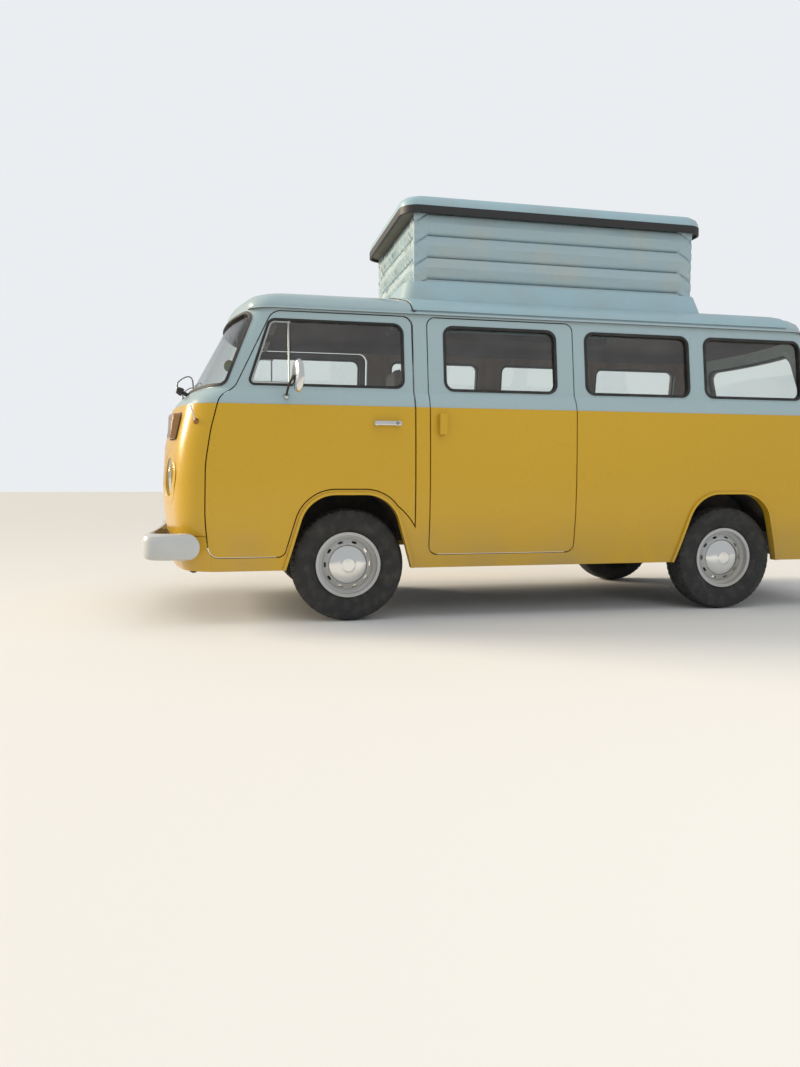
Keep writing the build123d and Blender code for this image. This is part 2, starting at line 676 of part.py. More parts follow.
# Tailgate and its glass
with BuildPart() as tailgate:
    add(shell)
    add(
        lengthwise(rounded_front(*tailgate_front, -PANEL_GAP / 2), REAR_AXLE_D, FAR),
        mode=Mode.INTERSECT,
    )
    add(lengthwise(front_outline(REAR_WINDOW), REAR_AXLE_D, FAR), mode=Mode.SUBTRACT)
with BuildPart() as tailgate_glass:
    add(glass_layer)
    add(
        lengthwise(front_outline(REAR_WINDOW, -SEAL_WIDTH), REAR_AXLE_D, FAR),
        mode=Mode.INTERSECT,
    )
with BuildPart() as tailgate_seal:
    add(seal_layer)
    add(lengthwise(front_outline(REAR_WINDOW), REAR_AXLE_D, FAR), mode=Mode.INTERSECT)
    add(
        lengthwise(front_outline(REAR_WINDOW, -SEAL_WIDTH), REAR_AXLE_D, FAR),
        mode=Mode.SUBTRACT,
    )

# Engine lid
with BuildPart() as engine_lid:
    add(shell)
    add(
        lengthwise(rounded_front(*engine_lid_front, -PANEL_GAP / 2), REAR_AXLE_D, FAR),
        mode=Mode.INTERSECT,
    )
    with BuildSketch(Plane.XZ.offset(-back(LENGTH - 60))):
        with Locations((0, ENGINE_LID_BOTTOM_Z + 60)):
            SlotOverall(120, 26)
    extrude(amount=60)

# Fixed glass: windscreen and the load space's windows
with BuildPart() as windscreen:
    add(glass_layer)
    add(screen_inside, mode=Mode.INTERSECT)
with BuildPart() as side_panes:
    for d in SIDE_WINDOWS_D:
        add(both_sides(side_window(d, -SEAL_WIDTH)))
    add(glass_layer, mode=Mode.INTERSECT)
with BuildPart() as fixed_glass:
    add(windscreen.part)
    add(side_panes.part)

# Rubber round the fixed glass
with BuildPart() as screen_rubber:
    add(seal_layer)
    add(screen_hole, mode=Mode.INTERSECT)
    add(screen_inside, mode=Mode.SUBTRACT)
with BuildPart() as side_rings:
    for d in SIDE_WINDOWS_D:
        add(both_sides(side_window(d)))
    for d in SIDE_WINDOWS_D:
        add(both_sides(side_window(d, -SEAL_WIDTH)), mode=Mode.SUBTRACT)
    add(seal_layer, mode=Mode.INTERSECT)
with BuildPart() as window_seals:
    add(screen_rubber.part)
    add(side_rings.part)

# Wipers lying on the foot of the windscreen. Columns: spindle's x, blade's middle x and
# height, and the blade's slope in degrees.
WIPERS = ((300, -60, 1372, 4), (-330, -470, 1380, 12))
WIPER_BLADE = 430.0
WIPER_SPINDLE_R = 16.0
WIPER_OUT = 11.0
WIPER_CLEAR = 0.5
SPINDLE_Z = WINDOW_BOTTOM_Z - 22
wiper_depth = DOOR_FRONT_D + 200
with BuildPart() as wiper_blades:
    for spindle_x, blade_x, blade_z, slope in WIPERS:
        with BuildSketch(Plane.XZ.offset(-back(wiper_depth))):
            with Locations(Location((blade_x, blade_z, 0), (0, 0, slope))):
                Rectangle(WIPER_BLADE, 14)
        extrude(amount=wiper_depth)
with BuildPart() as wiper_arms:
    for spindle_x, blade_x, blade_z, slope in WIPERS:
        with BuildSketch(Plane.XZ.offset(-back(wiper_depth))):
            with BuildLine():
                Polyline(
                    (spindle_x - 9, SPINDLE_Z), (spindle_x + 9, SPINDLE_Z),
                    (blade_x + 7, blade_z + 4), (blade_x - 7, blade_z - 6), close=True,
                )
            make_face()
            with Locations((spindle_x, SPINDLE_Z)):
                Circle(WIPER_SPINDLE_R)
        extrude(amount=wiper_depth)
with BuildPart() as wiper_feet:
    with BuildSketch(Plane.XZ.offset(-back(wiper_depth))):
        with Locations(*[(row[0], SPINDLE_Z) for row in WIPERS]):
            Circle(WIPER_SPINDLE_R)
    extrude(amount=wiper_depth)
with BuildPart() as wipers:
    add(wiper_blades.part)
    add(wiper_arms.part)
    add(layer(-WIPER_OUT, -SEAL_PROUD - WIPER_CLEAR, GLAZED), mode=Mode.INTERSECT)
with BuildPart() as blade_rubbers:
    add(wiper_blades.part)
    add(screen_inside, mode=Mode.INTERSECT)
    add(layer(-SEAL_PROUD - 1, GLASS_IN - WIPER_CLEAR, GLAZED), mode=Mode.INTERSECT)
with BuildPart() as wiper_mounts:
    add(wiper_feet.part)
    add(layer(-SEAL_PROUD - 1, 0, GLAZED), mode=Mode.INTERSECT)
with wipers:
    add(blade_rubbers.part)
    add(wiper_mounts.part)

# Bumpers: hollow blades with a crowned face and round ends, on two brackets each.
# Columns: height above the lower edge, how far in the blade stands from its crown
BUMPER_ROWS = (
    (0, 36), (5, 20), (15, 8), (34, 2), (BUMPER_HEIGHT / 2, 0), (BUMPER_HEIGHT - 34, 2),
    (BUMPER_HEIGHT - 15, 8), (BUMPER_HEIGHT - 5, 20), (BUMPER_HEIGHT, 36),
)
BRACKET_X = 340.0
BRACKET_W = 60.0


def bumper_block(inset):
    """Block with the blades' crowned outline, as long as the van, moved in by inset."""
    rest = (-BUMPER_PROUD, 0, 0, BUMPER_BOW, BUMPER_CORNER, BUMPER_BOW, BUMPER_CORNER)
    with BuildPart() as block:
        rows = [plan_outline((BUMPER_BOTTOM_Z + z, *rest), tuck + inset) for z, tuck in BUMPER_ROWS]
        loft(sections=rows, ruled=True)
    return block.part


with BuildPart() as bumper_ring:
    add(bumper_block(0))
    add(bumper_block(BUMPER_THICK), mode=Mode.SUBTRACT)
bumper_z = (BUMPER_BOTTOM_Z, BUMPER_BOTTOM_Z + BUMPER_HEIGHT)
bumper_end_r = BUMPER_HEIGHT / 2 - 1
front_blade = rounded_side(-FRONT_BUMPER_END_D, FRONT_BUMPER_END_D, *bumper_z, bumper_end_r)
rear_end_d = LENGTH - REAR_BUMPER_WRAP
rear_blade = rounded_side(rear_end_d, LENGTH + REAR_BUMPER_WRAP, *bumper_z, bumper_end_r)
bracket_z = (BUMPER_BOTTOM_Z + 50, BUMPER_BOTTOM_Z + BUMPER_HEIGHT - 45)

# Towing eyes: an upright plate with a cross hole, near each end of the van
EYE_PLATE = 14.0
EYE_HOLE_R = 15.0
EYE_HALF = 30.0
EYE_X = BRACKET_X
FRONT_EYE_D = 235.0
FRONT_EYE_Z = SILL_Z - 25
REAR_EYE_D = LENGTH - 75
REAR_EYE_Z = BUMPER_BOTTOM_Z - 35


def towing_eye(d, z, top_z):
    """Plate that hangs from top_z, with a round foot about its hole."""
    with BuildPart() as eye:
        with BuildSketch(Plane.YZ.offset(EYE_X - EYE_PLATE / 2)):
            with Locations((back(d), z)):
                Circle(EYE_HALF)
            with Locations((back(d), (z + top_z) / 2)):
                Rectangle(2 * EYE_HALF, top_z - z)
            with Locations((back(d), z)):
                Circle(EYE_HOLE_R, mode=Mode.SUBTRACT)
        extrude(amount=EYE_PLATE)
    return eye.part


with BuildPart() as front_bumper:
    add(bumper_ring.part)
    add(across(front_blade, -OUTER_X, OUTER_X), mode=Mode.INTERSECT)
    with BuildSketch(Plane.XY.offset(bracket_z[0])):
        with Locations((BRACKET_X, back(66)), (-BRACKET_X, back(66))):
            Rectangle(BRACKET_W, 112)
    extrude(amount=bracket_z[1] - bracket_z[0])
    add(skin, mode=Mode.SUBTRACT)
with BuildPart() as rear_bumper:
    add(bumper_ring.part)
    add(across(rear_blade, -OUTER_X, OUTER_X), mode=Mode.INTERSECT)
    with BuildSketch(Plane.XY.offset(bracket_z[0])):
        with Locations((BRACKET_X, back(LENGTH - 60)), (-BRACKET_X, back(LENGTH - 60))):
            Rectangle(BRACKET_W, 100)
    extrude(amount=bracket_z[1] - bracket_z[0])
    add(towing_eye(REAR_EYE_D, REAR_EYE_Z, bracket_z[0]))
    add(skin, mode=Mode.SUBTRACT)

# Front lamps: round headlamps in chrome rings, and flashers beside the air grille
LENS_BULGE = 16.0
HEADLAMP_DEEP = 110.0
FLASHER_IN_X = 500.0
FLASHER_OUT_X = 655.0
FLASHER_BOTTOM_Z = 1050.0
FLASHER_TOP_Z = 1185.0
FLASHER_PROUD = 20.0
with BuildPart() as headlamp:
    with BuildSketch(Plane.YZ.offset(HEADLAMP_X)):
        with BuildLine():
            face_y = back(HEADLAMP_FACE_D)
            lens = (face_y, HEADLAMP_Z + HEADLAMP_R - 18)
            Polyline(
                lens, (face_y - 4, HEADLAMP_Z + HEADLAMP_R - 8),
                (face_y + 2, HEADLAMP_Z + HEADLAMP_R),
                (face_y + HEADLAMP_RING, HEADLAMP_Z + HEADLAMP_R),
                (face_y + HEADLAMP_RING, HEADLAMP_Z + HEADLAMP_HOLE_R),
                (face_y + HEADLAMP_RING + 20, HEADLAMP_Z + HEADLAMP_HOLE_R),
                (face_y + HEADLAMP_DEEP, HEADLAMP_Z + 45), (face_y + HEADLAMP_DEEP, HEADLAMP_Z),
                (face_y - LENS_BULGE, HEADLAMP_Z),
            )
            lens_mid = (face_y - LENS_BULGE * 0.75, HEADLAMP_Z + (HEADLAMP_R - 18) / 2)
            ThreePointArc((face_y - LENS_BULGE, HEADLAMP_Z), lens_mid, lens)
        make_face()
    revolve(axis=Axis((HEADLAMP_X, 0, HEADLAMP_Z), (0, 1, 0)))
flasher_place = (FLASHER_IN_X, FLASHER_OUT_X, FLASHER_BOTTOM_Z, FLASHER_TOP_Z, 14)
with BuildPart() as flasher:
    add(layer(-FLASHER_PROUD, 0, (LOWER,)))
    add(lengthwise(rounded_front(*flasher_place), 0, DOOR_FRONT_D), mode=Mode.INTERSECT)
with BuildPart() as front_lamps:
    add(both_sides(headlamp.part))
    add(both_sides(flasher.part))

# Tail lamps on the rear corners
TAIL_LAMP_IN_X = 690.0
TAIL_LAMP_OUT_X = 785.0
TAIL_LAMP_BOTTOM_Z = 720.0
TAIL_LAMP_TOP_Z = 1030.0
TAIL_LAMP_PROUD = 22.0
tail_lamp_place = (TAIL_LAMP_IN_X, TAIL_LAMP_OUT_X, TAIL_LAMP_BOTTOM_Z, TAIL_LAMP_TOP_Z, 30)
with BuildPart() as tail_lamp:
    add(layer(-TAIL_LAMP_PROUD, 0, (LOWER,)))
    add(lengthwise(rounded_front(*tail_lamp_place), REAR_AXLE_D, FAR), mode=Mode.INTERSECT)
with BuildPart() as tail_lamps:
    add(both_sides(tail_lamp.part))

# Fresh air grille: a frame round level bars
with BuildPart() as air_grille:
    with BuildSketch(Plane.XZ.offset(-back(DOOR_FRONT_D))):
        with Locations((0, (GRILLE_BOTTOM_Z + GRILLE_TOP_Z) / 2)):
            height = GRILLE_TOP_Z - GRILLE_BOTTOM_Z
            RectangleRounded(2 * GRILLE_HALF, height, 12)
            RectangleRounded(2 * GRILLE_HALF - 20, height - 14, 6, mode=Mode.SUBTRACT)
            with GridLocations(0, height / (GRILLE_BARS + 1), 1, GRILLE_BARS):
                Rectangle(2 * GRILLE_HALF, GRILLE_BAR)
            with GridLocations(GRILLE_HALF, 0, 2, 1):
                Rectangle(14, height)
    extrude(amount=DOOR_FRONT_D)
    add(layer(-2, 22, (LOWER,)), mode=Mode.INTERSECT)

# Underbody: floor, seat riser with its bulkhead, wheel tubs, engine bay and chassis rails
TOE_D = 100.0
RISER_FRONT_D = 1010.0
RISER_WALL = 18.0
BULKHEAD_D = 1500.0
BULKHEAD = 30.0
BULKHEAD_Z = 1000.0
FIREWALL_D = 3400.0
FIREWALL = 20.0
DECK = 18.0
RAIL_X = 340.0
RAIL_W = 70.0
RAIL_FRONT = 200.0
CROSS_W = 60.0
CROSS_D = (640.0, 1620.0, 2350.0, 2850.0)
JACK_D = (1620.0, 2850.0)
JACK_X = 735.0
JACK_TUBE = 40.0
JACK_BORE = 26.0
DOOR_ROOM = 8.0
rail_top = FLOOR_Z - FLOOR_THICK
with BuildPart() as door_rooms:
    add(layer(0, WALL + DOOR_ROOM))
    add(both_sides(across(door_outline(PANEL_GAP), INNER_X, OUTER_X)), mode=Mode.INTERSECT)


def tub_block(axle_d, x_from, grow):
    """Blocks that fill an axle's two wheel tubs, out past the sides, grown by an amount."""
    with BuildPart() as block:
        add(axle_cylinder(axle_d, TUB_R + grow, x_from - grow, OUTER_X))
        add(across(arch_outline(axle_d, TUB_GAP + grow), x_from - grow, OUTER_X))
    return both_sides(block.part)


def tub_pair(axle_d, x_from):
    """An axle's two wheel tubs, open to the side and below the floor."""
    with BuildPart() as pair:
        add(tub_block(axle_d, x_from, TUB_WALL))
        add(room, mode=Mode.INTERSECT)
        add(tub_block(axle_d, x_from, 0), mode=Mode.SUBTRACT)
        add(box_between(-HALF, HALF, 0, FAR, 0, rail_top), mode=Mode.SUBTRACT)
        add(door_rooms.part, mode=Mode.SUBTRACT)
    return pair.part


with BuildPart() as front_tubs:
    add(tub_pair(FRONT_AXLE_D, FRONT_TUB_X))
with BuildPart() as rear_tubs:
    add(tub_pair(REAR_AXLE_D, REAR_TUB_X))
with BuildPart() as tub_rooms:
    add(tub_block(FRONT_AXLE_D, FRONT_TUB_X, TUB_WALL))
    add(tub_block(REAR_AXLE_D, REAR_TUB_X, TUB_WALL))
    add(door_rooms.part)
with BuildPart() as floor:
    add(box_between(-HALF, HALF, TOE_D, FIREWALL_D - FIREWALL, rail_top, FLOOR_Z))
    add(room, mode=Mode.INTERSECT)
    add(tub_rooms.part, mode=Mode.SUBTRACT)
riser_inside = (RISER_FRONT_D + RISER_WALL, BULKHEAD_D, FLOOR_Z, RISER_Z - RISER_WALL)
with BuildPart() as seat_riser:
    add(box_between(-HALF, HALF, RISER_FRONT_D, BULKHEAD_D, FLOOR_Z, RISER_Z))
    add(box_between(-HALF, HALF, *riser_inside), mode=Mode.SUBTRACT)
    add(box_between(-HALF, HALF, BULKHEAD_D, BULKHEAD_D + BULKHEAD, FLOOR_Z, BULKHEAD_Z))
    add(room, mode=Mode.INTERSECT)
    add(tub_rooms.part, mode=Mode.SUBTRACT)
with BuildPart() as engine_bay:
    add(box_between(-HALF, HALF, FIREWALL_D, LENGTH, DECK_Z - DECK, DECK_Z))
    add(box_between(-HALF, HALF, FIREWALL_D - FIREWALL, FIREWALL_D, rail_top, DECK_Z))
    add(room, mode=Mode.INTERSECT)
    add(tub_rooms.part, mode=Mode.SUBTRACT)
with BuildPart() as chassis_rails:
    for side in (-1, 1):
        rail_in, rail_out = sorted((side * (RAIL_X - RAIL_W / 2), side * (RAIL_X + RAIL_W / 2)))
        add(box_between(rail_in, rail_out, RAIL_FRONT, FIREWALL_D + 300, RAIL_Z, rail_top))
    for d in CROSS_D:
        reach = JACK_X + JACK_TUBE / 2 if d in JACK_D else RAIL_X
        add(box_between(-reach, reach, d - CROSS_W / 2, d + CROSS_W / 2, RAIL_Z, rail_top))
    with BuildSketch(Plane.XY.offset(RAIL_Z)):
        for d in JACK_D:
            with Locations((JACK_X, back(d)), (-JACK_X, back(d))):
                Rectangle(JACK_TUBE, JACK_TUBE)
                Rectangle(JACK_BORE, JACK_BORE, mode=Mode.SUBTRACT)
    extrude(amount=SILL_Z + 25 - RAIL_Z)
    add(towing_eye(FRONT_EYE_D, FRONT_EYE_Z, RAIL_Z))

# Engine with its gearbox and silencer, as plain masses at their real places
ENGINE_D = REAR_AXLE_D + 250
ENGINE_LENGTH = 430.0
ENGINE_HALF = 370.0
ENGINE_BOTTOM_Z = 335.0
ENGINE_TOP_Z = 790.0
GEARBOX_R = 120.0
GEARBOX_FRONT_D = REAR_AXLE_D - 400
SILENCER_R = 62.0
SILENCER_Z = 345.0
TAIL_PIPE_R = 20.0
TAIL_PIPE_Z = SILL_Z - 32
with BuildPart() as engine:
    add(box_between(-ENGINE_HALF, ENGINE_HALF, ENGINE_D, ENGINE_D + ENGINE_LENGTH, ENGINE_BOTTOM_Z, 560))
    add(box_between(-230, 230, ENGINE_D, ENGINE_D + ENGINE_LENGTH - 40, 550, ENGINE_TOP_Z))
    fillet(engine.edges().filter_by(Axis.Y), 24)
    axle_point = (0, TYRE_R + 20)
    with BuildSketch(Plane.XZ.offset(-back(GEARBOX_FRONT_D))):
        with Locations(axle_point):
            Circle(70)
    with BuildSketch(Plane.XZ.offset(-back(REAR_AXLE_D + 40))):
        with Locations(axle_point):
            Circle(GEARBOX_R)
    with BuildSketch(Plane.XZ.offset(-back(ENGINE_D + 5))):
        with Locations(axle_point):
            Circle(GEARBOX_R + 45)
    loft(ruled=True)
    silencer_d = ENGINE_D + ENGINE_LENGTH + SILENCER_R + 15
    with BuildSketch(Plane.YZ.offset(-330)):
        with Locations((back(silencer_d), SILENCER_Z)):
            Circle(SILENCER_R)
    extrude(amount=660)
    for x in (-260, 260):
        with BuildSketch(Plane.XZ.offset(-back(silencer_d))):
            with Locations((x, SILENCER_Z + 20)):
                Circle(21)
        extrude(amount=SILENCER_R + 40)
    with BuildSketch(Plane.XZ.offset(-back(LENGTH - 40))):
        with Locations((-200, TAIL_PIPE_Z)):
            Circle(TAIL_PIPE_R)
    extrude(amount=LENGTH - 40 - silencer_d)

# Front axle: two cross tubes, their clamps on the rails and four arms
ARM_W = 20.0
ARM_H = 34.0
EYE_R = 21.0
PIN_R = 10.0
PIN_FIT = 0.2
beam_d = FRONT_AXLE_D - BEAM_AHEAD


def arm_between(foot, eye, width):
    """Plan view of a straight arm between two points, each an (x, d) pair."""
    (x0, d0), (x1, d1) = foot, eye
    length = sqrt((x1 - x0) ** 2 + (d1 - d0) ** 2)
    turn = degrees(atan2(d1 - d0, x1 - x0))
    with BuildSketch() as outline:
        with Locations(Location(((x0 + x1) / 2, back((d0 + d1) / 2), 0), (0, 0, turn))):
            SlotCenterToCenter(length, width)
    return outline.sketch


with BuildPart() as front_axle:
    for z in (BEAM_LOWER_Z, BEAM_UPPER_Z):
        with BuildSketch(Plane.YZ.offset(-BEAM_HALF)):
            with Locations((back(beam_d), z)):
                Circle(BEAM_TUBE_R)
        extrude(amount=2 * BEAM_HALF)
        with BuildSketch(Plane.XY.offset(z - ARM_H / 2)):
            for side in (-1, 1):
                foot, eye = (side * (BEAM_HALF - 12), beam_d), (side * KINGPIN_X, FRONT_AXLE_D)
                add(arm_between(foot, eye, ARM_W))
                with Locations((side * KINGPIN_X, back(FRONT_AXLE_D))):
                    Circle(EYE_R)
        extrude(amount=ARM_H)
    for side in (-1, 1):
        inner, outer = sorted((side * (RAIL_X - 22), side * (RAIL_X + 22)))
        clamp_z = (BEAM_LOWER_Z - BEAM_TUBE_R - 10, RAIL_Z)
        add(box_between(inner, outer, beam_d - 42, beam_d + 42, *clamp_z))
    with BuildSketch(Plane.XY.offset(BEAM_LOWER_Z - ARM_H / 2 - 1)):
        with Locations((KINGPIN_X, back(FRONT_AXLE_D)), (-KINGPIN_X, back(FRONT_AXLE_D))):
            Circle(PIN_R + PIN_FIT)
    extrude(amount=BEAM_UPPER_Z - BEAM_LOWER_Z + ARM_H + 2, mode=Mode.SUBTRACT)

# Knuckles: a post on the kingpin line between the arms' eyes, the wheel's spindle and the
# steering arm
KNUCKLE_R = 21.0
KNUCKLE_CLEAR = 1.0
SPINDLE_FLANGE_R = 46.0
ROD_PIN_R = 7.0
ROD_FIT = 0.3
knuckle_bottom = BEAM_LOWER_Z + ARM_H / 2 + KNUCKLE_CLEAR
knuckle_top = BEAM_UPPER_Z - ARM_H / 2 - KNUCKLE_CLEAR
front_wheel_x = FRONT_TRACK / 2
rear_wheel_x = REAR_TRACK / 2
HUB_IN = 30.0
HUB_OUT = 36.0
STEERING_ARM_H = 16.0
with BuildPart() as knuckle_left:
    with BuildSketch(Plane.XY.offset(knuckle_bottom)):
        with Locations((KINGPIN_X, back(FRONT_AXLE_D))):
            Circle(KNUCKLE_R)
    extrude(amount=knuckle_top - knuckle_bottom)
    with BuildSketch(Plane.XY.offset(BEAM_LOWER_Z - ARM_H / 2)):
        with Locations((KINGPIN_X, back(FRONT_AXLE_D))):
            Circle(PIN_R)
    extrude(amount=BEAM_UPPER_Z - BEAM_LOWER_Z + ARM_H)
    with BuildSketch(Plane.YZ.offset(KINGPIN_X)):
        with Locations((back(FRONT_AXLE_D), TYRE_R)):
            Circle(SPINDLE_FLANGE_R)
    extrude(amount=KNUCKLE_R + 12)
    with BuildSketch(Plane.YZ.offset(KINGPIN_X)):
        with Locations((back(FRONT_AXLE_D), TYRE_R)):
            Circle(SPINDLE_R)
    extrude(amount=front_wheel_x + HUB_OUT - KINGPIN_X)
    with BuildSketch(Plane.XY.offset(TRACK_ROD_Z - STEERING_ARM_H / 2)):
        rod_end = (KINGPIN_X, FRONT_AXLE_D + STEERING_ARM)
        add(arm_between((KINGPIN_X, FRONT_AXLE_D), rod_end, 24))
        with Locations((KINGPIN_X, back(rod_end[1]))):
            Circle(ROD_PIN_R + ROD_FIT, mode=Mode.SUBTRACT)
    extrude(amount=STEERING_ARM_H)
with BuildPart() as knuckle_right:
    add(mirror(knuckle_left.part, about=Plane.YZ, mode=Mode.PRIVATE))

# Track rod between the steering arms, with a pin down through each
ROD_R = 11.0
ROD_DROP = 22.0
rod_d = FRONT_AXLE_D + STEERING_ARM
with BuildPart() as track_rod:
    with BuildSketch(Plane.YZ.offset(-KINGPIN_X)):
        with Locations((back(rod_d), TRACK_ROD_Z - ROD_DROP)):
            Circle(ROD_R)
    extrude(amount=2 * KINGPIN_X)
    with BuildSketch(Plane.XY.offset(TRACK_ROD_Z - ROD_DROP - ROD_R)):
        with Locations((KINGPIN_X, back(rod_d)), (-KINGPIN_X, back(rod_d))):
            Circle(ROD_R)
    extrude(amount=2 * ROD_R)
    with BuildSketch(Plane.XY.offset(TRACK_ROD_Z - ROD_DROP)):
        with Locations((KINGPIN_X, back(rod_d)), (-KINGPIN_X, back(rod_d))):
            Circle(ROD_PIN_R)
    extrude(amount=ROD_DROP + STEERING_ARM_H / 2)

# Rear axle: torsion tube, trailing arms, hub carriers and drive shafts
TRAILING_ARM_X = 520.0
CARRIER_R = 60.0
rear_hub_face = rear_wheel_x - HUB_IN
with BuildPart() as rear_axle:
    with BuildSketch(Plane.YZ.offset(-TRAILING_ARM_X)):
        with Locations((back(TORSION_TUBE_D), TORSION_TUBE_Z)):
            Circle(TORSION_TUBE_R)
    extrude(amount=2 * TRAILING_ARM_X)
    for side in (-1, 1):
        with BuildSketch(Plane.XY.offset(TORSION_TUBE_Z - 38)):
            foot = (side * (TRAILING_ARM_X - 30), TORSION_TUBE_D)
            add(arm_between(foot, (side * (REAR_TUB_X - 30), REAR_AXLE_D), 46))
        extrude(amount=46)
        saddle = sorted((side * (RAIL_X - 30), side * (RAIL_X + 30)))
        saddle_d = (TORSION_TUBE_D - 50, TORSION_TUBE_D + 50)
        add(box_between(*saddle, *saddle_d, TORSION_TUBE_Z, RAIL_Z))
        hub_from, hub_to = sorted((side * (REAR_TUB_X - 50), side * (rear_hub_face - 2)))
        add(axle_cylinder(REAR_AXLE_D, CARRIER_R, hub_from, hub_to))
        end_from, end_to = sorted((side * (GEARBOX_R - 20), side * (rear_wheel_x + HUB_OUT)))
        add(axle_cylinder(REAR_AXLE_D, SPINDLE_R, end_from, end_to))
    add(engine.part, mode=Mode.SUBTRACT)

# Wheels: steel rim and disc, brake drum, hub and domed cap, turned about the axle's line.
# Each outline is a list of (along the axle, radius), outboard positive.
RIM_LIP = 10.0
RIM_OUTLINE = (
    (-70, RIM_R + RIM_LIP), (-62, RIM_R + RIM_LIP), (-62, RIM_R), (-35, RIM_R),
    (-26, RIM_R - 20), (22, RIM_R - 20), (32, RIM_R), (62, RIM_R), (62, RIM_R + RIM_LIP),
    (70, RIM_R + RIM_LIP), (68, RIM_R - 8), (36, RIM_R - 8), (26, RIM_R - 28),
    (-30, RIM_R - 28), (-40, RIM_R - 8), (-68, RIM_R - 8),
)
DISC_OUTLINE = (
    (-6, RIM_R - 25), (20, RIM_R - 25), (46, 112), (40, 62), (HUB_OUT, 62),
    (HUB_OUT, SPINDLE_R + SPINDLE_FIT), (-HUB_IN, SPINDLE_R + SPINDLE_FIT), (-HUB_IN, 50),
    (-24, 118), (22, 118), (34, 108), (6, RIM_R - 36),
)
CAP_OUTLINE = ((40, 0), (72, 0), (70, 42), (62, 86), (48, 112), (41, 112))
WHEEL_SLOTS = 10
WHEEL_SLOT_R = 131.0
WHEEL_SLOT = (30.0, 13.0)
TYRE_OUTLINE = (
    (RIM_W / 2 - 8, RIM_R), (RIM_W / 2 - 8, RIM_R + RIM_LIP),
    (TYRE_W / 2, TYRE_R - 72), (TYRE_W / 2 - 19, TYRE_R),
)


def turned(outline):
    """Closed outline of (along, radius) points turned a full circle about X."""
    with BuildPart() as body:
        with BuildSketch(Plane.XY):
            with BuildLine():
                Polyline(*outline, close=True)
            make_face()
        revolve(axis=Axis.X)
    return body.part


with BuildPart() as wheel_blank:
    add(turned(RIM_OUTLINE))
    add(turned(DISC_OUTLINE))
    add(turned(CAP_OUTLINE))
    with BuildSketch(Plane.YZ):
        with PolarLocations(WHEEL_SLOT_R, WHEEL_SLOTS):
            SlotOverall(*WHEEL_SLOT, rotation=90)
    extrude(amount=RIM_W / 2, mode=Mode.SUBTRACT)
with BuildPart() as tyre_blank:
    add(turned(TYRE_OUTLINE + tuple((-x, r) for x, r in reversed(TYRE_OUTLINE))))

CORNERS = {
    "front_left": (front_wheel_x, FRONT_AXLE_D, 0),
    "front_right": (-front_wheel_x, FRONT_AXLE_D, 180),
    "rear_left": (rear_wheel_x, REAR_AXLE_D, 0),
    "rear_right": (-rear_wheel_x, REAR_AXLE_D, 180),
}
wheels, tyres = {}, {}
for corner, (x, d, turn) in CORNERS.items():
    place = Location((x, back(d), TYRE_R), (0, 0, turn))
    with BuildPart() as wheel:
        add(wheel_blank.part.moved(place))
    with BuildPart() as tyre:
        add(tyre_blank.part.moved(place))
    wheels[corner], tyres[corner] = wheel, tyre

# Steering wheel on its leaning column
COLUMN_R = 21.0
COLUMN_LENGTH = 745.0
COLUMN_SHAFT_R = 11.0
COLUMN_FIT = 0.5
COLUMN_STAY_HALF = 30.0
COLUMN_STAY_D = (400.0, 745.0)
COLUMN_STAY_Z = (BELT_Z - 190, BELT_Z - 155)
RIM_TUBE_R = 12.0
WHEEL_DISH = 55.0
centre = Location(
    (STEERING_WHEEL_X, back(STEERING_WHEEL_D), STEERING_WHEEL_Z), (-STEERING_TILT, 0, 0),
)
column_plane = Plane(centre)
with BuildPart() as steering_wheel:
    with BuildSketch(Plane(column_plane.origin, x_dir=column_plane.x_dir, z_dir=column_plane.y_dir)):
        with Locations((STEERING_WHEEL_R, 0)):
            Circle(RIM_TUBE_R)
    revolve(axis=Axis(column_plane.origin, column_plane.z_dir))
    hub_plane = column_plane.offset(-WHEEL_DISH)
    with BuildSketch(hub_plane):
        Circle(52)
    extrude(amount=30)
    for turn in (20, 160, 200, 340):
        with BuildSketch(hub_plane):
            with PolarLocations(0, 1, turn):
                with Locations((40, 0)):
                    Rectangle(26, 34)
        with BuildSketch(column_plane):
            with PolarLocations(0, 1, turn):
                with Locations((STEERING_WHEEL_R - 8, 0)):
                    Rectangle(14, 24)
        loft(ruled=True)
    with BuildSketch(hub_plane):
        Circle(COLUMN_SHAFT_R)
    extrude(amount=-60)
with BuildPart() as column:
    with BuildSketch(hub_plane.offset(-PANEL_GAP)):
        Circle(COLUMN_R)
    extrude(amount=-COLUMN_LENGTH)
    add(box_between(-FAR, FAR, 0, LENGTH, 0, FLOOR_Z), mode=Mode.SUBTRACT)

# Dashboard with the steering column
DASH_PROFILE = (
    (150, BELT_Z - 140, 5), (420, BELT_Z - 175, 20), (500, BELT_Z - 130, 30),
    (540, BELT_Z - 20, 40), (500, BELT_Z + 45, 30), (380, BELT_Z + 62, 120), (150, BELT_Z + 40, 5),
)
with BuildPart() as dash_body:
    add(across(side_outline(DASH_PROFILE), -HALF, HALF))
    add(room, mode=Mode.INTERSECT)
    add(door_rooms.part, mode=Mode.SUBTRACT)
with BuildPart() as dashboard:
    add(dash_body.part)
    stay_x = (STEERING_WHEEL_X - COLUMN_STAY_HALF, STEERING_WHEEL_X + COLUMN_STAY_HALF)
    add(box_between(*stay_x, *COLUMN_STAY_D, *COLUMN_STAY_Z))
    add(column.part)
    with BuildSketch(hub_plane):
        Circle(COLUMN_SHAFT_R + COLUMN_FIT)
    extrude(amount=-70, mode=Mode.SUBTRACT)

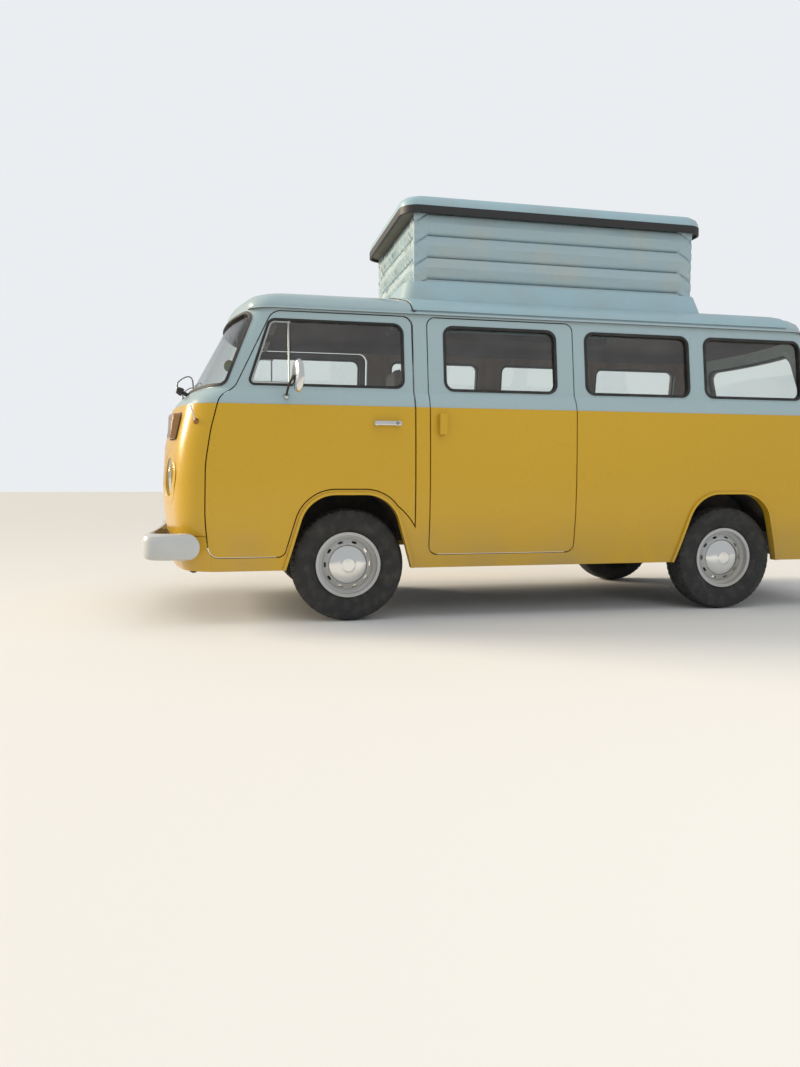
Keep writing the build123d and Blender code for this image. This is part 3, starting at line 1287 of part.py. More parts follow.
# Seats: two in the cab, a bench and a pad over the engine
SEAT_X = 400.0
SEAT_HALF = 245.0
SEAT_PROFILE = (
    (1000, RISER_Z, 30), (985, RISER_Z + 130, 40), (1330, RISER_Z + 105, 30),
    (1415, RISER_Z + 560, 30), (1490, RISER_Z + 560, 30), (1440, RISER_Z, 30),
)
HEADREST_Z = RISER_Z + 575
BENCH_D = (2940.0, 3375.0)
BENCH_X = (-180.0, REAR_TUB_X - TUB_WALL - 10)
CUSHION = 110.0
CAB_SEAT = dict(x_from=SEAT_X - SEAT_HALF, x_to=SEAT_X + SEAT_HALF)
with BuildPart() as cab_seat:
    add(across(side_outline(SEAT_PROFILE), **CAB_SEAT))
    headrest = rounded_side(1420, 1490, HEADREST_Z, HEADREST_Z + 170, 30)
    add(across(headrest, SEAT_X - 130, SEAT_X + 130))
    for x in (SEAT_X - 60, SEAT_X + 60):
        with BuildSketch(Plane.XY.offset(RISER_Z + 500)):
            with Locations((x, back(1455))):
                Circle(7)
        extrude(amount=100)
with BuildPart() as seats:
    add(both_sides(cab_seat.part))
    bench_z = FLOOR_Z + 310
    add(box_between(*BENCH_X, BENCH_D[0] + 40, BENCH_D[1], FLOOR_Z, bench_z))
    cushion = rounded_side(BENCH_D[0], BENCH_D[1], bench_z, bench_z + CUSHION, 35)
    add(across(cushion, *BENCH_X))
    mattress = rounded_side(FIREWALL_D, LENGTH - 240, DECK_Z, DECK_Z + 90, 30)
    add(across(mattress, -SEAT_X - 150, SEAT_X + 250))

# Cabinets along the right wall, with the worktop a little proud
CABINET_IN_X = -420.0
CABINET_D = (1640.0, 2880.0)
CABINET_Z = 1170.0
WORKTOP = 25.0
WORKTOP_PROUD = 10.0
with BuildPart() as cabinets:
    add(box_between(-HALF, CABINET_IN_X, *CABINET_D, FLOOR_Z, CABINET_Z))
    worktop_d = (CABINET_D[0] - WORKTOP_PROUD, CABINET_D[1] + WORKTOP_PROUD)
    worktop_z = (CABINET_Z, CABINET_Z + WORKTOP)
    add(box_between(-HALF, CABINET_IN_X + WORKTOP_PROUD, *worktop_d, *worktop_z))
    add(room, mode=Mode.INTERSECT)

# Roof base: a moulding that lies on the roof and rises in a collar round the opening
BASE_THICK = 8.0
COLLAR_IN = 35.0
COLLAR_FLARE = 40.0
BASE_OUTLINE = (
    (-HALF, LID_FRONT_D + 65), (-550, LID_FRONT_D - 45), (550, LID_FRONT_D - 45),
    (HALF, LID_FRONT_D + 65), (HALF, LENGTH - 560), (-HALF, LENGTH - 560),
)
hole_d = ROOF_HOLE_D + ROOF_HOLE_LENGTH / 2
with BuildPart() as roof_base:
    add(layer(-BASE_THICK, 0, (ROOF,)))
    with BuildSketch(Plane.XY.offset(GUTTER_Z + 12)):
        with BuildLine():
            Polyline(*[(x, back(d)) for x, d in BASE_OUTLINE], close=True)
        make_face()
    extrude(amount=ROOF_Z, mode=Mode.INTERSECT)
    collar_length = LID_LENGTH - 2 * COLLAR_IN
    for z, grow in ((GUTTER_Z + 80, COLLAR_FLARE), (BASE_TOP_Z, 0)):
        with BuildSketch(Plane.XY.offset(z)):
            with Locations((0, back(LID_FRONT_D + LID_LENGTH / 2))):
                half = LID_HALF - COLLAR_IN + 20 + grow
                RectangleRounded(2 * half, collar_length + 20 + 2 * grow, 90)
    loft(ruled=True)
    with BuildSketch(Plane.XY.offset(GUTTER_Z)):
        with Locations((0, back(hole_d))):
            RectangleRounded(2 * ROOF_HOLE_HALF, ROOF_HOLE_LENGTH, 60)
    extrude(amount=ROOF_Z, mode=Mode.SUBTRACT)
    add(skin, mode=Mode.SUBTRACT)

# Bellows: a fabric wall between the base's collar and the lid's flange. Its sides fold in
# between three pleats, and each fold runs out in a gusset that ends at the upright corner.
# Columns: height, how far the fold stands in.
lid_centre_y = back(LID_FRONT_D + LID_LENGTH / 2)
PLEAT_IN = 2.0
FOLDS = (
    (BASE_TOP_Z, BELLOWS_FOLD / 3), (2085.0, PLEAT_IN), (2148.0, BELLOWS_FOLD),
    (2212.0, PLEAT_IN), (2276.0, BELLOWS_FOLD), (2340.0, PLEAT_IN),
    (LID_BOTTOM_Z, BELLOWS_FOLD / 3),
)


def fold_outline(height, fold, inset):
    """Plan of the bellows at one height: straight to the corners, folded in between."""
    x_half = BELLOWS_HALF - inset
    y_half = LID_LENGTH / 2 - BELLOWS_GAP - inset
    quarter = (
        (x_half - fold, y_half - BELLOWS_GUSSET), (x_half, y_half),
        (x_half - BELLOWS_GUSSET, y_half - fold),
    )
    left = quarter + tuple((-x, y) for x, y in reversed(quarter))
    points = left + tuple((-x, -y) for x, y in left)
    with BuildSketch(Plane.XY.offset(height)) as outline:
        with BuildLine():
            Polyline(*[(x, lid_centre_y + y) for x, y in points], close=True)
        make_face()
    return outline.sketch


def bellows_solid(inset):
    """Solid block with the bellows' folded sides, moved in by inset."""
    with BuildPart() as block:
        loft(sections=[fold_outline(*fold, inset) for fold in FOLDS], ruled=True)
    return block.part


with BuildPart() as bellows:
    add(bellows_solid(0))
    add(bellows_solid(BELLOWS_WALL), mode=Mode.SUBTRACT)

# Lid: a shallow crowned tray with a flange that the bellows hang from
LID_CORNER = 110.0
# Columns: height above the lid's lower edge, how far in the side stands
LID_SECTIONS = ((0, 0), (50, 2), (72, 10), (88, 28), (99, 62), (107, 130), (LID_HEIGHT, 260))
LID_FLANGE = 8.0
FLANGE_IN = 75.0


def lid_solid(inset, drop):
    """Solid lid, its skin moved in by inset and down by drop."""
    with BuildPart() as block:
        for height, tuck in LID_SECTIONS:
            with BuildSketch(Plane.XY.offset(LID_BOTTOM_Z + height - (drop if height else 0))):
                with Locations((0, lid_centre_y)):
                    move = tuck + inset
                    size = (2 * (LID_HALF - move), LID_LENGTH - 2 * move)
                    RectangleRounded(*size, LID_CORNER - inset)
        loft(ruled=True)
    return block.part


with BuildPart() as lid:
    add(lid_solid(0, 0))
    add(lid_solid(LID_WALL, LID_WALL), mode=Mode.SUBTRACT)
    with BuildSketch(Plane.XY.offset(LID_BOTTOM_Z)):
        with Locations((0, lid_centre_y)):
            RectangleRounded(2 * LID_HALF - 2, LID_LENGTH - 2, LID_CORNER)
            size = (2 * (LID_HALF - FLANGE_IN), LID_LENGTH - 2 * (BELLOWS_GAP + 50))
            RectangleRounded(*size, LID_CORNER / 2, mode=Mode.SUBTRACT)
    extrude(amount=LID_FLANGE)

# Rubber rim under the lid's edge
LID_RIM = 14.0
LID_RIM_DROP = 16.0
with BuildPart() as lid_rim:
    with BuildSketch(Plane.XY.offset(LID_BOTTOM_Z)):
        with Locations((0, lid_centre_y)):
            RectangleRounded(2 * LID_HALF, LID_LENGTH, LID_CORNER)
            size = (2 * (LID_HALF - LID_RIM), LID_LENGTH - 2 * LID_RIM)
            RectangleRounded(*size, LID_CORNER - LID_RIM, mode=Mode.SUBTRACT)
    extrude(amount=-LID_RIM_DROP)

# Every finished piece under its own name
pieces = {
    "nose_panel": nose_panel,
    "windscreen_frame": windscreen_frame,
    "roof_panel": roof_panel,
    "side_panel_left": side_panel_left,
    "side_panel_right": side_panel_right,
    "rear_panel": rear_panel,
    "floor": floor,
    "seat_riser": seat_riser,
    "front_tubs": front_tubs,
    "rear_tubs": rear_tubs,
    "engine_bay": engine_bay,
    "chassis_rails": chassis_rails,
    "sliding_door": sliding_door,
    "front_bumper": front_bumper,
    "rear_bumper": rear_bumper,
    "front_lamps": front_lamps,
    "tail_lamps": tail_lamps,
    "air_grille": air_grille,
    "fixed_glass": fixed_glass,
    "window_seals": window_seals,
    "wipers": wipers,
    "dashboard": dashboard,
    "seats": seats,
    "cabinets": cabinets,
    "engine": engine,
    "front_axle": front_axle,
    "rear_axle": rear_axle,
    "roof_base": roof_base,
    "bellows": bellows,
    "lid": lid,
    "lid_rim": lid_rim,
    "door_left": door_left,
    "door_right": door_right,
    "door_glass_left": door_glass_left,
    "door_glass_right": door_glass_right,
    "door_fittings_left": door_fittings_left,
    "door_fittings_right": door_fittings_right,
    "tailgate": tailgate,
    "tailgate_glass": tailgate_glass,
    "tailgate_seal": tailgate_seal,
    "engine_lid": engine_lid,
    "knuckle_left": knuckle_left,
    "knuckle_right": knuckle_right,
    "track_rod": track_rod,
    "steering_wheel": steering_wheel,
}
for corner in CORNERS:
    pieces["wheel_" + corner] = wheels[corner]
    pieces["tyre_" + corner] = tyres[corner]
for name, piece in pieces.items():
    piece.part.label = name
    export_step(piece.part, f"parts/{name}.step")
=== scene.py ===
# %% [markdown]
# A camper van in Blender. The van's solids come from a finished CAD model, each already in
# its place. This lesson dresses them: it gives every panel its paint and soft edges, and
# it makes the pieces that a CAD model leaves plain, such as tyres, cloth and seats.

# %% Load the van's solids
import json
import math

import bpy
import bmesh
import numpy as np
from mathutils import Matrix, Vector


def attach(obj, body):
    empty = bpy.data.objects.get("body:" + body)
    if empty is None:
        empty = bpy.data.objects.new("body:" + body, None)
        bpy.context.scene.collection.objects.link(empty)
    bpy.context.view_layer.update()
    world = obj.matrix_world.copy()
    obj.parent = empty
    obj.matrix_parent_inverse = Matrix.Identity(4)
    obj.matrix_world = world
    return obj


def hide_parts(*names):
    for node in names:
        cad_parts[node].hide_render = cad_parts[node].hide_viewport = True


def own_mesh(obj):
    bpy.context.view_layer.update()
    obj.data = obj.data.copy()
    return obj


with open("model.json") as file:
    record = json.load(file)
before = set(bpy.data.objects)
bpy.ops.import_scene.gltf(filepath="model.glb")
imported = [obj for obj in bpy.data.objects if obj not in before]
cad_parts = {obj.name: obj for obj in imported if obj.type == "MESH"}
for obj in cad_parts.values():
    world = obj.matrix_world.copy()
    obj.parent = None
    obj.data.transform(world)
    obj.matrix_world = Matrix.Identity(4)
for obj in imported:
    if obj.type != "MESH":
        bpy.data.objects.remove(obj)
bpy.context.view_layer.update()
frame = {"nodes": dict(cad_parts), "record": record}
nodes = frame["nodes"]

# %% [markdown]
# Places that many pieces share. Everything is in metres: X points to the van's left, Y to
# its tail and Z up, with the origin on the ground under its middle. A distance d is
# measured back from the front bumper's face, as a body maker would draw it.

# %% Shared places
LENGTH = 4.505
HALF_WIDTH = 0.86
BELT_Z = 1.225
FLOOR_Z = 0.51
FRONT_AXLE_D = 1.110
REAR_AXLE_D = 3.510
AXLE_Z = 0.325


def back(d):
    """Y of a place d metres behind the front bumper's face."""
    return d - LENGTH / 2


# %% [markdown]
# Shader maths reads best as plain sums. This small class wraps a socket, so that adding or
# multiplying two of them lays down the Math nodes that do it.

# %% Sums on sockets
class Value:
    """A number that changes over a surface: + - * and the methods add Math nodes."""

    def __init__(self, finish, socket):
        self.finish, self.socket = finish, socket

    def math(self, operation, first, second, clamp=False):
        settings = {"operation": operation, "use_clamp": clamp}
        return self.finish.node("ShaderNodeMath", settings, {0: first, 1: second})

    def __add__(self, other):
        return self.math("ADD", self, other)

    def __sub__(self, other):
        return self.math("SUBTRACT", self, other)

    def __rsub__(self, other):
        return self.math("SUBTRACT", other, self)

    def __mul__(self, other):
        return self.math("MULTIPLY", self, other)

    def power(self, other):
        return self.math("POWER", self, other)

    def sine(self):
        return self.math("SINE", self, 0)

    def absolute(self):
        return self.math("ABSOLUTE", self, 0)

    def step(self, low, high):
        """0 below low, 1 above high and a straight ramp between."""
        return self.math("MULTIPLY", self - low, 1 / (high - low), clamp=True)

    __radd__ = __add__
    __rmul__ = __mul__


def darker(colour, share):
    return tuple(part * share for part in colour)


class Finish:
    """One material. node() lays down any node, and the other methods are common uses of it."""

    def __init__(self, name):
        self.material = bpy.data.materials.new(name)
        self.material.use_nodes = True
        self.tree = self.material.node_tree
        self.tree.nodes.clear()

    def node(self, kind, settings=None, inputs=None, output=0):
        """A node of this kind, with its settings first and then its sockets' values or links."""
        made = self.tree.nodes.new(kind)
        stops = (settings or {}).pop("stops", None)
        for name, value in (settings or {}).items():
            setattr(made, name, value)
        if stops:
            ramp = made.color_ramp
            while len(ramp.elements) < len(stops):
                ramp.elements.new(0.5)
            for element, (place, colour) in zip(ramp.elements, stops):
                element.position = place
                element.color = (*colour, 1)
        for name, value in (inputs or {}).items():
            socket = made.inputs[name]
            if isinstance(value, Value):
                self.tree.links.new(value.socket, socket)
            elif socket.type == "RGBA":
                socket.default_value = (*value, 1)
            else:
                socket.default_value = value
        return Value(self, made.outputs[output])

    def place(self):
        """Where a point is on the object, in metres."""
        return self.node("ShaderNodeTexCoord", output="Object")

    def axis(self, letter, vector=None):
        """One coordinate of a vector, the point's own place if none is given."""
        split = {"Vector": vector or self.place()}
        return self.node("ShaderNodeSeparateXYZ", None, split, "XYZ".index(letter))

    def stretched(self, scale):
        """The point's place, stretched along each axis."""
        inputs = {"Vector": self.place(), "Scale": scale}
        return self.node("ShaderNodeMapping", None, inputs)

    def noise(self, scale, detail=2.0, vector=None):
        inputs = {"Scale": scale, "Detail": detail, "Vector": vector or self.place()}
        return self.node("ShaderNodeTexNoise", None, inputs)

    def cells(self, scale):
        """How far a point is from the edge of its cell, as in leather grain."""
        inputs = {"Scale": scale, "Vector": self.place()}
        return self.node("ShaderNodeTexVoronoi", {"feature": "DISTANCE_TO_EDGE"}, inputs)

    def mix(self, factor, first, second):
        """A colour between two others."""
        inputs = {0: factor, 6: first, 7: second}
        return self.node("ShaderNodeMix", {"data_type": "RGBA"}, inputs, 2)

    def bump(self, height, distance, strength=1.0, normal=None):
        inputs = {"Height": height, "Distance": distance, "Strength": strength}
        if normal:
            inputs["Normal"] = normal
        return self.node("ShaderNodeBump", None, inputs)

    def soft_edge(self, radius):
        """A normal that rounds every sharp edge a little, as paint and pressing do."""
        return self.node("ShaderNodeBevel", {"samples": 4}, {"Radius": radius})

    def glancing(self, sharpness, straight, edge, normal=None):
        """straight where the surface faces the eye, and up to edge more where it turns away."""
        inputs = {"Blend": 0.5}
        if normal:
            inputs["Normal"] = normal
        facing = self.node("ShaderNodeLayerWeight", None, inputs, 1)
        return facing.power(sharpness) * edge + straight

    def finish(self, **inputs):
        """Ends the material in one Principled shader and returns the material."""
        named = {name.replace("_", " "): value for name, value in inputs.items()}
        surface = self.node("ShaderNodeBsdfPrincipled", None, named)
        return self.output(surface)

    def see_through(self, tint, roughness, share, normal=None):
        """Ends the material as thin glass: clear, with a mirror over a share of it."""
        shine = {"Color": (1, 1, 1), "Roughness": roughness}
        if normal:
            shine["Normal"] = normal
        mirror = self.node("ShaderNodeBsdfGlossy", None, shine)
        through = self.node("ShaderNodeBsdfTransparent", None, {"Color": tint})
        return self.output(
            self.node("ShaderNodeMixShader", None, {0: share, 1: through, 2: mirror})
        )

    def output(self, surface):
        out = self.tree.nodes.new("ShaderNodeOutputMaterial")
        self.tree.links.new(surface.socket, out.inputs["Surface"])
        return self.material


# %% [markdown]
# Paint. The van is two-tone: sunny yellow below the belt crease and pale white above, the pale's
# blue tint being painted cool sky shade.
# The line between them follows the crease, so the material picks its colour by height. A
# clear gloss with a trace of orange peel lies over both, and road dust dulls the sills.

# %% Paint
YELLOW = (0.60, 0.36, 0.018)
# PALE is pale paint with a blue tint that is painted cool sky shade.
PALE = (0.345, 0.45, 0.475)
DUST = (0.30, 0.24, 0.16)
EDGE_RADIUS = 0.0035


def paint(name, low_colour, high_colour, line_z, gloss=0.22):
    """Car paint, one colour below line_z and another above it."""
    f = Finish(name)
    height = f.axis("Z")
    cloud = f.noise(2.2, 3)
    fade = f.noise(0.6, 2, f.stretched((1, 1, 0.4)))
    above = height.step(line_z - 0.0006, line_z + 0.0006)
    colour = f.mix(above, low_colour, high_colour)
    worn = f.mix((fade - 0.45).absolute() * 0.5, colour, darker(low_colour, 0.82))
    colour = f.mix(above, worn, high_colour)
    dirt = (1 - height.step(0.30, 0.62)) * cloud.step(0.35, 0.7) * 0.45
    speck = f.noise(260, 2).step(0.62, 0.74) * (1 - height.step(0.35, 0.9)) * 0.25
    colour = f.mix(dirt + speck, colour, DUST)
    peel = f.bump(f.noise(420, 1), 0.00025, 0.35, f.soft_edge(EDGE_RADIUS))
    rough = gloss + cloud * 0.10 + dirt * 0.5
    return f.finish(
        Base_Color=colour, Roughness=rough, Normal=peel,
        Specular_IOR_Level=0.35, Coat_Weight=0.30, Coat_Roughness=0.06,
    )


two_tone = paint("two_tone_paint", YELLOW, PALE, BELT_Z + 0.0005)
yellow_paint = paint("yellow_paint", YELLOW, YELLOW, BELT_Z + 1)
pale_paint = paint("pale_paint_gloss", PALE, PALE, BELT_Z)
white_paint = paint("white_bumper_paint", (0.56, 0.58, 0.58), (0.56, 0.58, 0.58), BELT_Z, 0.25)

# %% [markdown]
# Glass lets most light through and mirrors the sky at a glancing angle. A mix of a clear
# and a mirror shader does that with little noise, and the share of each goes by how far the
# surface turns away from the eye.

# %% Glass and lenses


def clear_glass(name, tint):
    """Thin window glass: see-through, and a mirror at a glancing angle."""
    f = Finish(name)
    smear = f.noise(7, 3).step(0.45, 0.8) * 0.02
    return f.see_through(tint, 0.02, f.glancing(5.0, 0.055, 0.75) + smear)


def ribbed_lens(name, colour, pitch, letter):
    """Coloured lamp plastic with fine upright or level prisms moulded in it."""
    f = Finish(name)
    prism = (f.axis(letter) * (2 * math.pi / pitch)).sine()
    ribs = f.bump(prism, 0.0012, 0.8, f.soft_edge(0.002))
    tone = f.mix(f.noise(90) * 0.5, colour, darker(colour, 0.6))
    return f.finish(Base_Color=tone, Roughness=0.12, Normal=ribs, Coat_Weight=0.6)


window_glass = clear_glass("window_glass", (0.93, 0.95, 0.94))
# The amber lens colour is darkened to brown: partly its own amber and partly painted shade.
amber_lens = ribbed_lens("amber_lens", (0.40, 0.20, 0.055), 0.006, "Z")
red_lens = ribbed_lens("red_lens", (0.45, 0.015, 0.012), 0.006, "Z")
white_lens = ribbed_lens("white_lens", (0.62, 0.62, 0.60), 0.006, "Z")

# %% [markdown]
# Bright metal, rubber and plastics. Chrome is a mirror with faint pitting; rubber is almost
# black and dulls to grey where it has weathered; moulded plastic has a fine leather grain.

# %% Metal, rubber and plastic


def bright_metal(name, colour=(0.78, 0.78, 0.77), rough=0.09):
    """Polished or plated metal with faint pits and cloudy patches."""
    f = Finish(name)
    cloud = f.noise(14, 3)
    pits = f.noise(900, 1).step(0.66, 0.74)
    tone = f.mix(pits * 0.5, colour, darker(colour, 0.4))
    surface = f.bump(f.noise(160, 2), 0.0002, 0.25, f.soft_edge(0.0015))
    return f.finish(
        Base_Color=tone, Metallic=1.0, Roughness=rough + cloud * 0.08 + pits * 0.2, Normal=surface,
    )


def rubber(name, dark=0.018, rough=0.62):
    """Weathered rubber: dark, with a dusty bloom in patches."""
    f = Finish(name)
    bloom = f.noise(18, 4).step(0.45, 0.75)
    tone = f.mix(bloom, (dark, dark, dark), (dark * 2.6, dark * 2.5, dark * 2.3))
    grain = f.bump(f.noise(700, 2), 0.0002, 0.5, f.soft_edge(0.003))
    return f.finish(Base_Color=tone, Roughness=rough + bloom * 0.15, Normal=grain)


def grained_plastic(name, colour, rough=0.5, scale=900.0):
    """Moulded plastic or vinyl with a fine leather grain."""
    f = Finish(name)
    grain = f.cells(scale)
    patch = f.noise(6, 3)
    tone = f.mix(patch, colour, darker(colour, 0.75))
    surface = f.bump(grain, 0.0004, 0.5, f.soft_edge(0.003))
    return f.finish(Base_Color=tone, Roughness=rough + patch * 0.1, Normal=surface)


def underside(name, colour, rough=0.7):
    """Old chassis paint: lumpy, with brown road dust on it."""
    f = Finish(name)
    dust = f.noise(9, 5).step(0.42, 0.70)
    tone = f.mix(dust * 0.6, colour, (0.10, 0.075, 0.05))
    lumps = f.bump(f.noise(240, 4), 0.001, 0.6, f.soft_edge(0.003))
    return f.finish(Base_Color=tone, Roughness=rough + dust * 0.2, Normal=lumps)


chrome = bright_metal("chrome")
dull_steel = bright_metal("dull_steel", (0.34, 0.34, 0.35), 0.30)
black_rubber = rubber("black_rubber_finish")
tyre_rubber = rubber("tyre_rubber", 0.022, 0.72)
black_plastic = grained_plastic("black_plastic_grain", (0.028, 0.028, 0.030))
brown_vinyl = grained_plastic("brown_vinyl", (0.115, 0.070, 0.045), 0.42, 500)
chassis_paint = underside("chassis_paint_old", (0.020, 0.020, 0.021))
engine_metal = underside("engine_metal", (0.11, 0.11, 0.11), 0.5)
wheel_paint = paint("wheel_silver", (0.50, 0.51, 0.51), (0.50, 0.51, 0.51), 2.0, 0.32)

# %% [markdown]
# The roof's mouldings are glass fibre with a gel coat: pale, a little rougher than paint,
# with long waves where the mould was, and green-grey weathering in patches.

# %% Moulding, cloth and wood


def gel_coat(name, colour):
    """Weathered glass-fibre moulding with long shallow waves."""
    f = Finish(name)
    weather = f.noise(3.5, 5).step(0.45, 0.75)
    tone = f.mix(weather * 0.35, colour, (0.30, 0.33, 0.29))
    waves = f.bump(f.noise(3.0, 2), 0.004, 0.25, f.soft_edge(0.004))
    fine = f.bump(f.noise(300, 2), 0.0002, 0.4, waves)
    return f.finish(Base_Color=tone, Roughness=0.34 + weather * 0.2, Normal=fine, Coat_Weight=0.25)


def coated_cloth(name, colour):
    """PVC-coated canvas: fine weave, creases and a soft sheen."""
    f = Finish(name)
    across, along, upright = ((f.axis(letter) * 5200).sine() for letter in "XYZ")
    threads = across * upright + along
    crease = f.noise(26, 4, f.stretched((1, 1, 2.2)))
    stain = f.noise(4, 4).step(0.5, 0.8)
    tone = f.mix(stain * 0.5, colour, (0.46, 0.44, 0.36))
    folds = f.bump(crease, 0.004, 0.5)
    weave = f.bump(threads, 0.0002, 0.3, folds)
    return f.finish(
        Base_Color=tone, Roughness=0.55 + stain * 0.15, Normal=weave,
        Subsurface_Weight=0.08, Subsurface_Radius=(0.006, 0.005, 0.004), Subsurface_Scale=0.5,
    )


def tweed(name, colour, second):
    """Seat cloth: a coarse two-colour weave with faint stripes."""
    f = Finish(name)
    across = (f.axis("X") * 2500).sine()
    along = ((f.axis("Y") + f.axis("Z")) * 2500).sine()
    weave = across * along
    stripe = (f.axis("X") * 120).sine().step(0.55, 0.95)
    fleck = f.noise(420, 2).step(0.45, 0.62)
    tone = f.mix(fleck * 0.6 + stripe * 0.35, colour, second)
    surface = f.bump(weave + f.noise(500, 2), 0.0007, 0.6)
    return f.finish(Base_Color=tone, Roughness=0.88, Normal=surface, Sheen_Weight=0.35)


def veneer(name, colour, second):
    """Wood veneer, its grain running upright."""
    f = Finish(name)
    grain = f.noise(22, 6, f.stretched((1, 1, 0.06)))
    lines = f.noise(160, 3, f.stretched((1, 1, 0.03)))
    tone = f.mix(grain.step(0.35, 0.68) * 0.8 + lines.step(0.5, 0.8) * 0.2, colour, second)
    surface = f.bump(lines, 0.0003, 0.4, f.soft_edge(0.003))
    return f.finish(Base_Color=tone, Roughness=0.42 + grain * 0.1, Normal=surface, Coat_Weight=0.2)


# The mouldings' blue tint is partly painted cool skylight on the pale gel coat.
roof_moulding = gel_coat("roof_moulding", (0.315, 0.455, 0.51))
# The bellows cloth is its own cream with a blue-grey tint of painted cool shade.
bellows_cloth = coated_cloth("bellows_cloth", (0.335, 0.445, 0.485))
headlining = grained_plastic("headlining", (0.150, 0.082, 0.072), 0.62, 260)
lid_lining = grained_plastic("lid_lining", (0.20, 0.165, 0.13), 0.6, 260)
seat_cloth = tweed("seat_cloth", (0.16, 0.085, 0.045), (0.36, 0.26, 0.16))
cabinet_veneer = veneer("cabinet_veneer", (0.30, 0.165, 0.075), (0.19, 0.095, 0.040))

# %% [markdown]
# Every solid gets its finish. The pieces made further on take the place of the plain ones.

# %% Finish each solid
SOLIDS_IN = (
    (yellow_paint, "nose_panel rear_panel engine_lid"),
    (pale_paint, "windscreen_frame roof_panel"),
    (two_tone, "side_panel_left side_panel_right sliding_door door_left door_right tailgate"),
    (white_paint, "front_bumper rear_bumper"),
    (chassis_paint, "floor seat_riser front_tubs rear_tubs engine_bay chassis_rails"),
    (chassis_paint, "front_axle rear_axle track_rod"),
    (engine_metal, "engine knuckle_left knuckle_right"),
    (wheel_paint, "wheel_front_left wheel_front_right wheel_rear_left wheel_rear_right"),
    (tyre_rubber, "tyre_front_left tyre_front_right tyre_rear_left tyre_rear_right"),
    (window_glass, "fixed_glass door_glass_left door_glass_right tailgate_glass"),
    (black_rubber, "window_seals tailgate_seal"),
    (black_plastic, "air_grille dashboard lid_rim steering_wheel wipers"),
    (roof_moulding, "roof_base lid"), (bellows_cloth, "bellows"),
    (chrome, "front_lamps door_fittings_left door_fittings_right"), (red_lens, "tail_lamps"),
    (cabinet_veneer, "cabinets"), (seat_cloth, "seats"),
)
FINISH_OF = {name: finish for finish, names in SOLIDS_IN for name in names.split()}
NODE_BODY = {
    node: body for body, names in frame["record"]["behaviour"]["bodies"].items() for node in names
}
for name, finish in FINISH_OF.items():
    nodes[name].data.materials.clear()
    nodes[name].data.materials.append(finish)
print("finished solids:", len(FINISH_OF), "left:", sorted(set(nodes) - set(FINISH_OF)))

# %% [markdown]
# Most pieces below are surfaces worked out from arrays: a grid of points, rows along the
# piece and columns round or across it. One helper turns such grids into a mesh. It can close
# the columns into a ring and cap the ends, and it lays several grids into one piece.

# %% From grids of points to a piece
DOUBLE = 0.00002

def grid_faces(rows, columns, ring):
    """Corner numbers of the quads between the points of a grid, row after row."""
    across_count = columns if ring else columns - 1
    row, column = np.meshgrid(np.arange(rows - 1), np.arange(across_count), indexing="ij")
    first = row * columns + column
    second = row * columns + (column + 1) % columns
    return np.stack([first, second, second + columns, first + columns], axis=-1).reshape(-1, 4)


def grid(points, ring=True, caps=True, flip=False):
    """A shape from a (rows, columns, 3) grid. A ring's columns close; caps fill its ends."""
    rows, columns = points.shape[:2]
    faces = [tuple(quad) for quad in grid_faces(rows, columns, ring).tolist()]
    if ring and caps:
        faces.append(tuple(range(columns))[::-1])
        faces.append(tuple(range((rows - 1) * columns, rows * columns)))
    if flip:
        faces = [face[::-1] for face in faces]
    return points.reshape(-1, 3), faces


def piece_from(name, shapes, finish, body, sharp=35, merge=True):
    """One object from several shapes, its doubles merged and its faces turned outwards."""
    points, faces, start = [], [], 0
    for shape_points, shape_faces in shapes:
        points.append(shape_points)
        faces.extend(tuple(corner + start for corner in face) for face in shape_faces)
        start += len(shape_points)
    mesh = bpy.data.meshes.new(name)
    mesh.from_pydata(np.concatenate(points).tolist(), [], faces)
    if merge:
        work = bmesh.new()
        work.from_mesh(mesh)
        bmesh.ops.remove_doubles(work, verts=work.verts, dist=DOUBLE)
        bmesh.ops.recalc_face_normals(work, faces=work.faces)
        work.to_mesh(mesh)
        work.free()
    return settle(name, mesh, finish, body, sharp)


def new_object(name, data):
    """An object for a mesh, lamp or camera, linked to the scene."""
    made = bpy.data.objects.new(name, data)
    bpy.context.scene.collection.objects.link(made)
    return made


def settle(name, mesh, finish, body, sharp=35):
    """An object for a finished mesh, shaded smooth up to an angle, riding on its body."""
    mesh.polygons.foreach_set("use_smooth", np.ones(len(mesh.polygons), dtype=bool))
    mesh.set_sharp_from_angle(angle=math.radians(sharp))
    mesh.materials.clear()
    mesh.materials.append(finish)
    made = new_object(name, mesh)
    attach(made, body)
    return made


def fitting(name, shapes, finish, stands_for=None, sharp=35):
    """A piece fixed to the body. It may stand for one of the van's solids."""
    made = piece_from(name, shapes, finish, "body", sharp)
    if stands_for:
        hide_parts(stands_for)
    return made


def turned(profile, centre, steps=64, axis="X"):
    """A profile of (along, radius) points turned about a line through centre."""
    along, radius = np.array(profile, dtype=float).T
    angle = np.linspace(0, 2 * np.pi, steps, endpoint=False)
    ring_a = radius[:, None] * np.cos(angle)[None, :]
    ring_b = radius[:, None] * np.sin(angle)[None, :]
    line = np.repeat(along[:, None], steps, axis=1)
    order = {"X": (line, ring_a, ring_b), "Y": (ring_b, line, ring_a), "Z": (ring_a, ring_b, line)}
    return grid(np.stack(order[axis], axis=-1) + np.array(centre, dtype=float), caps=False)


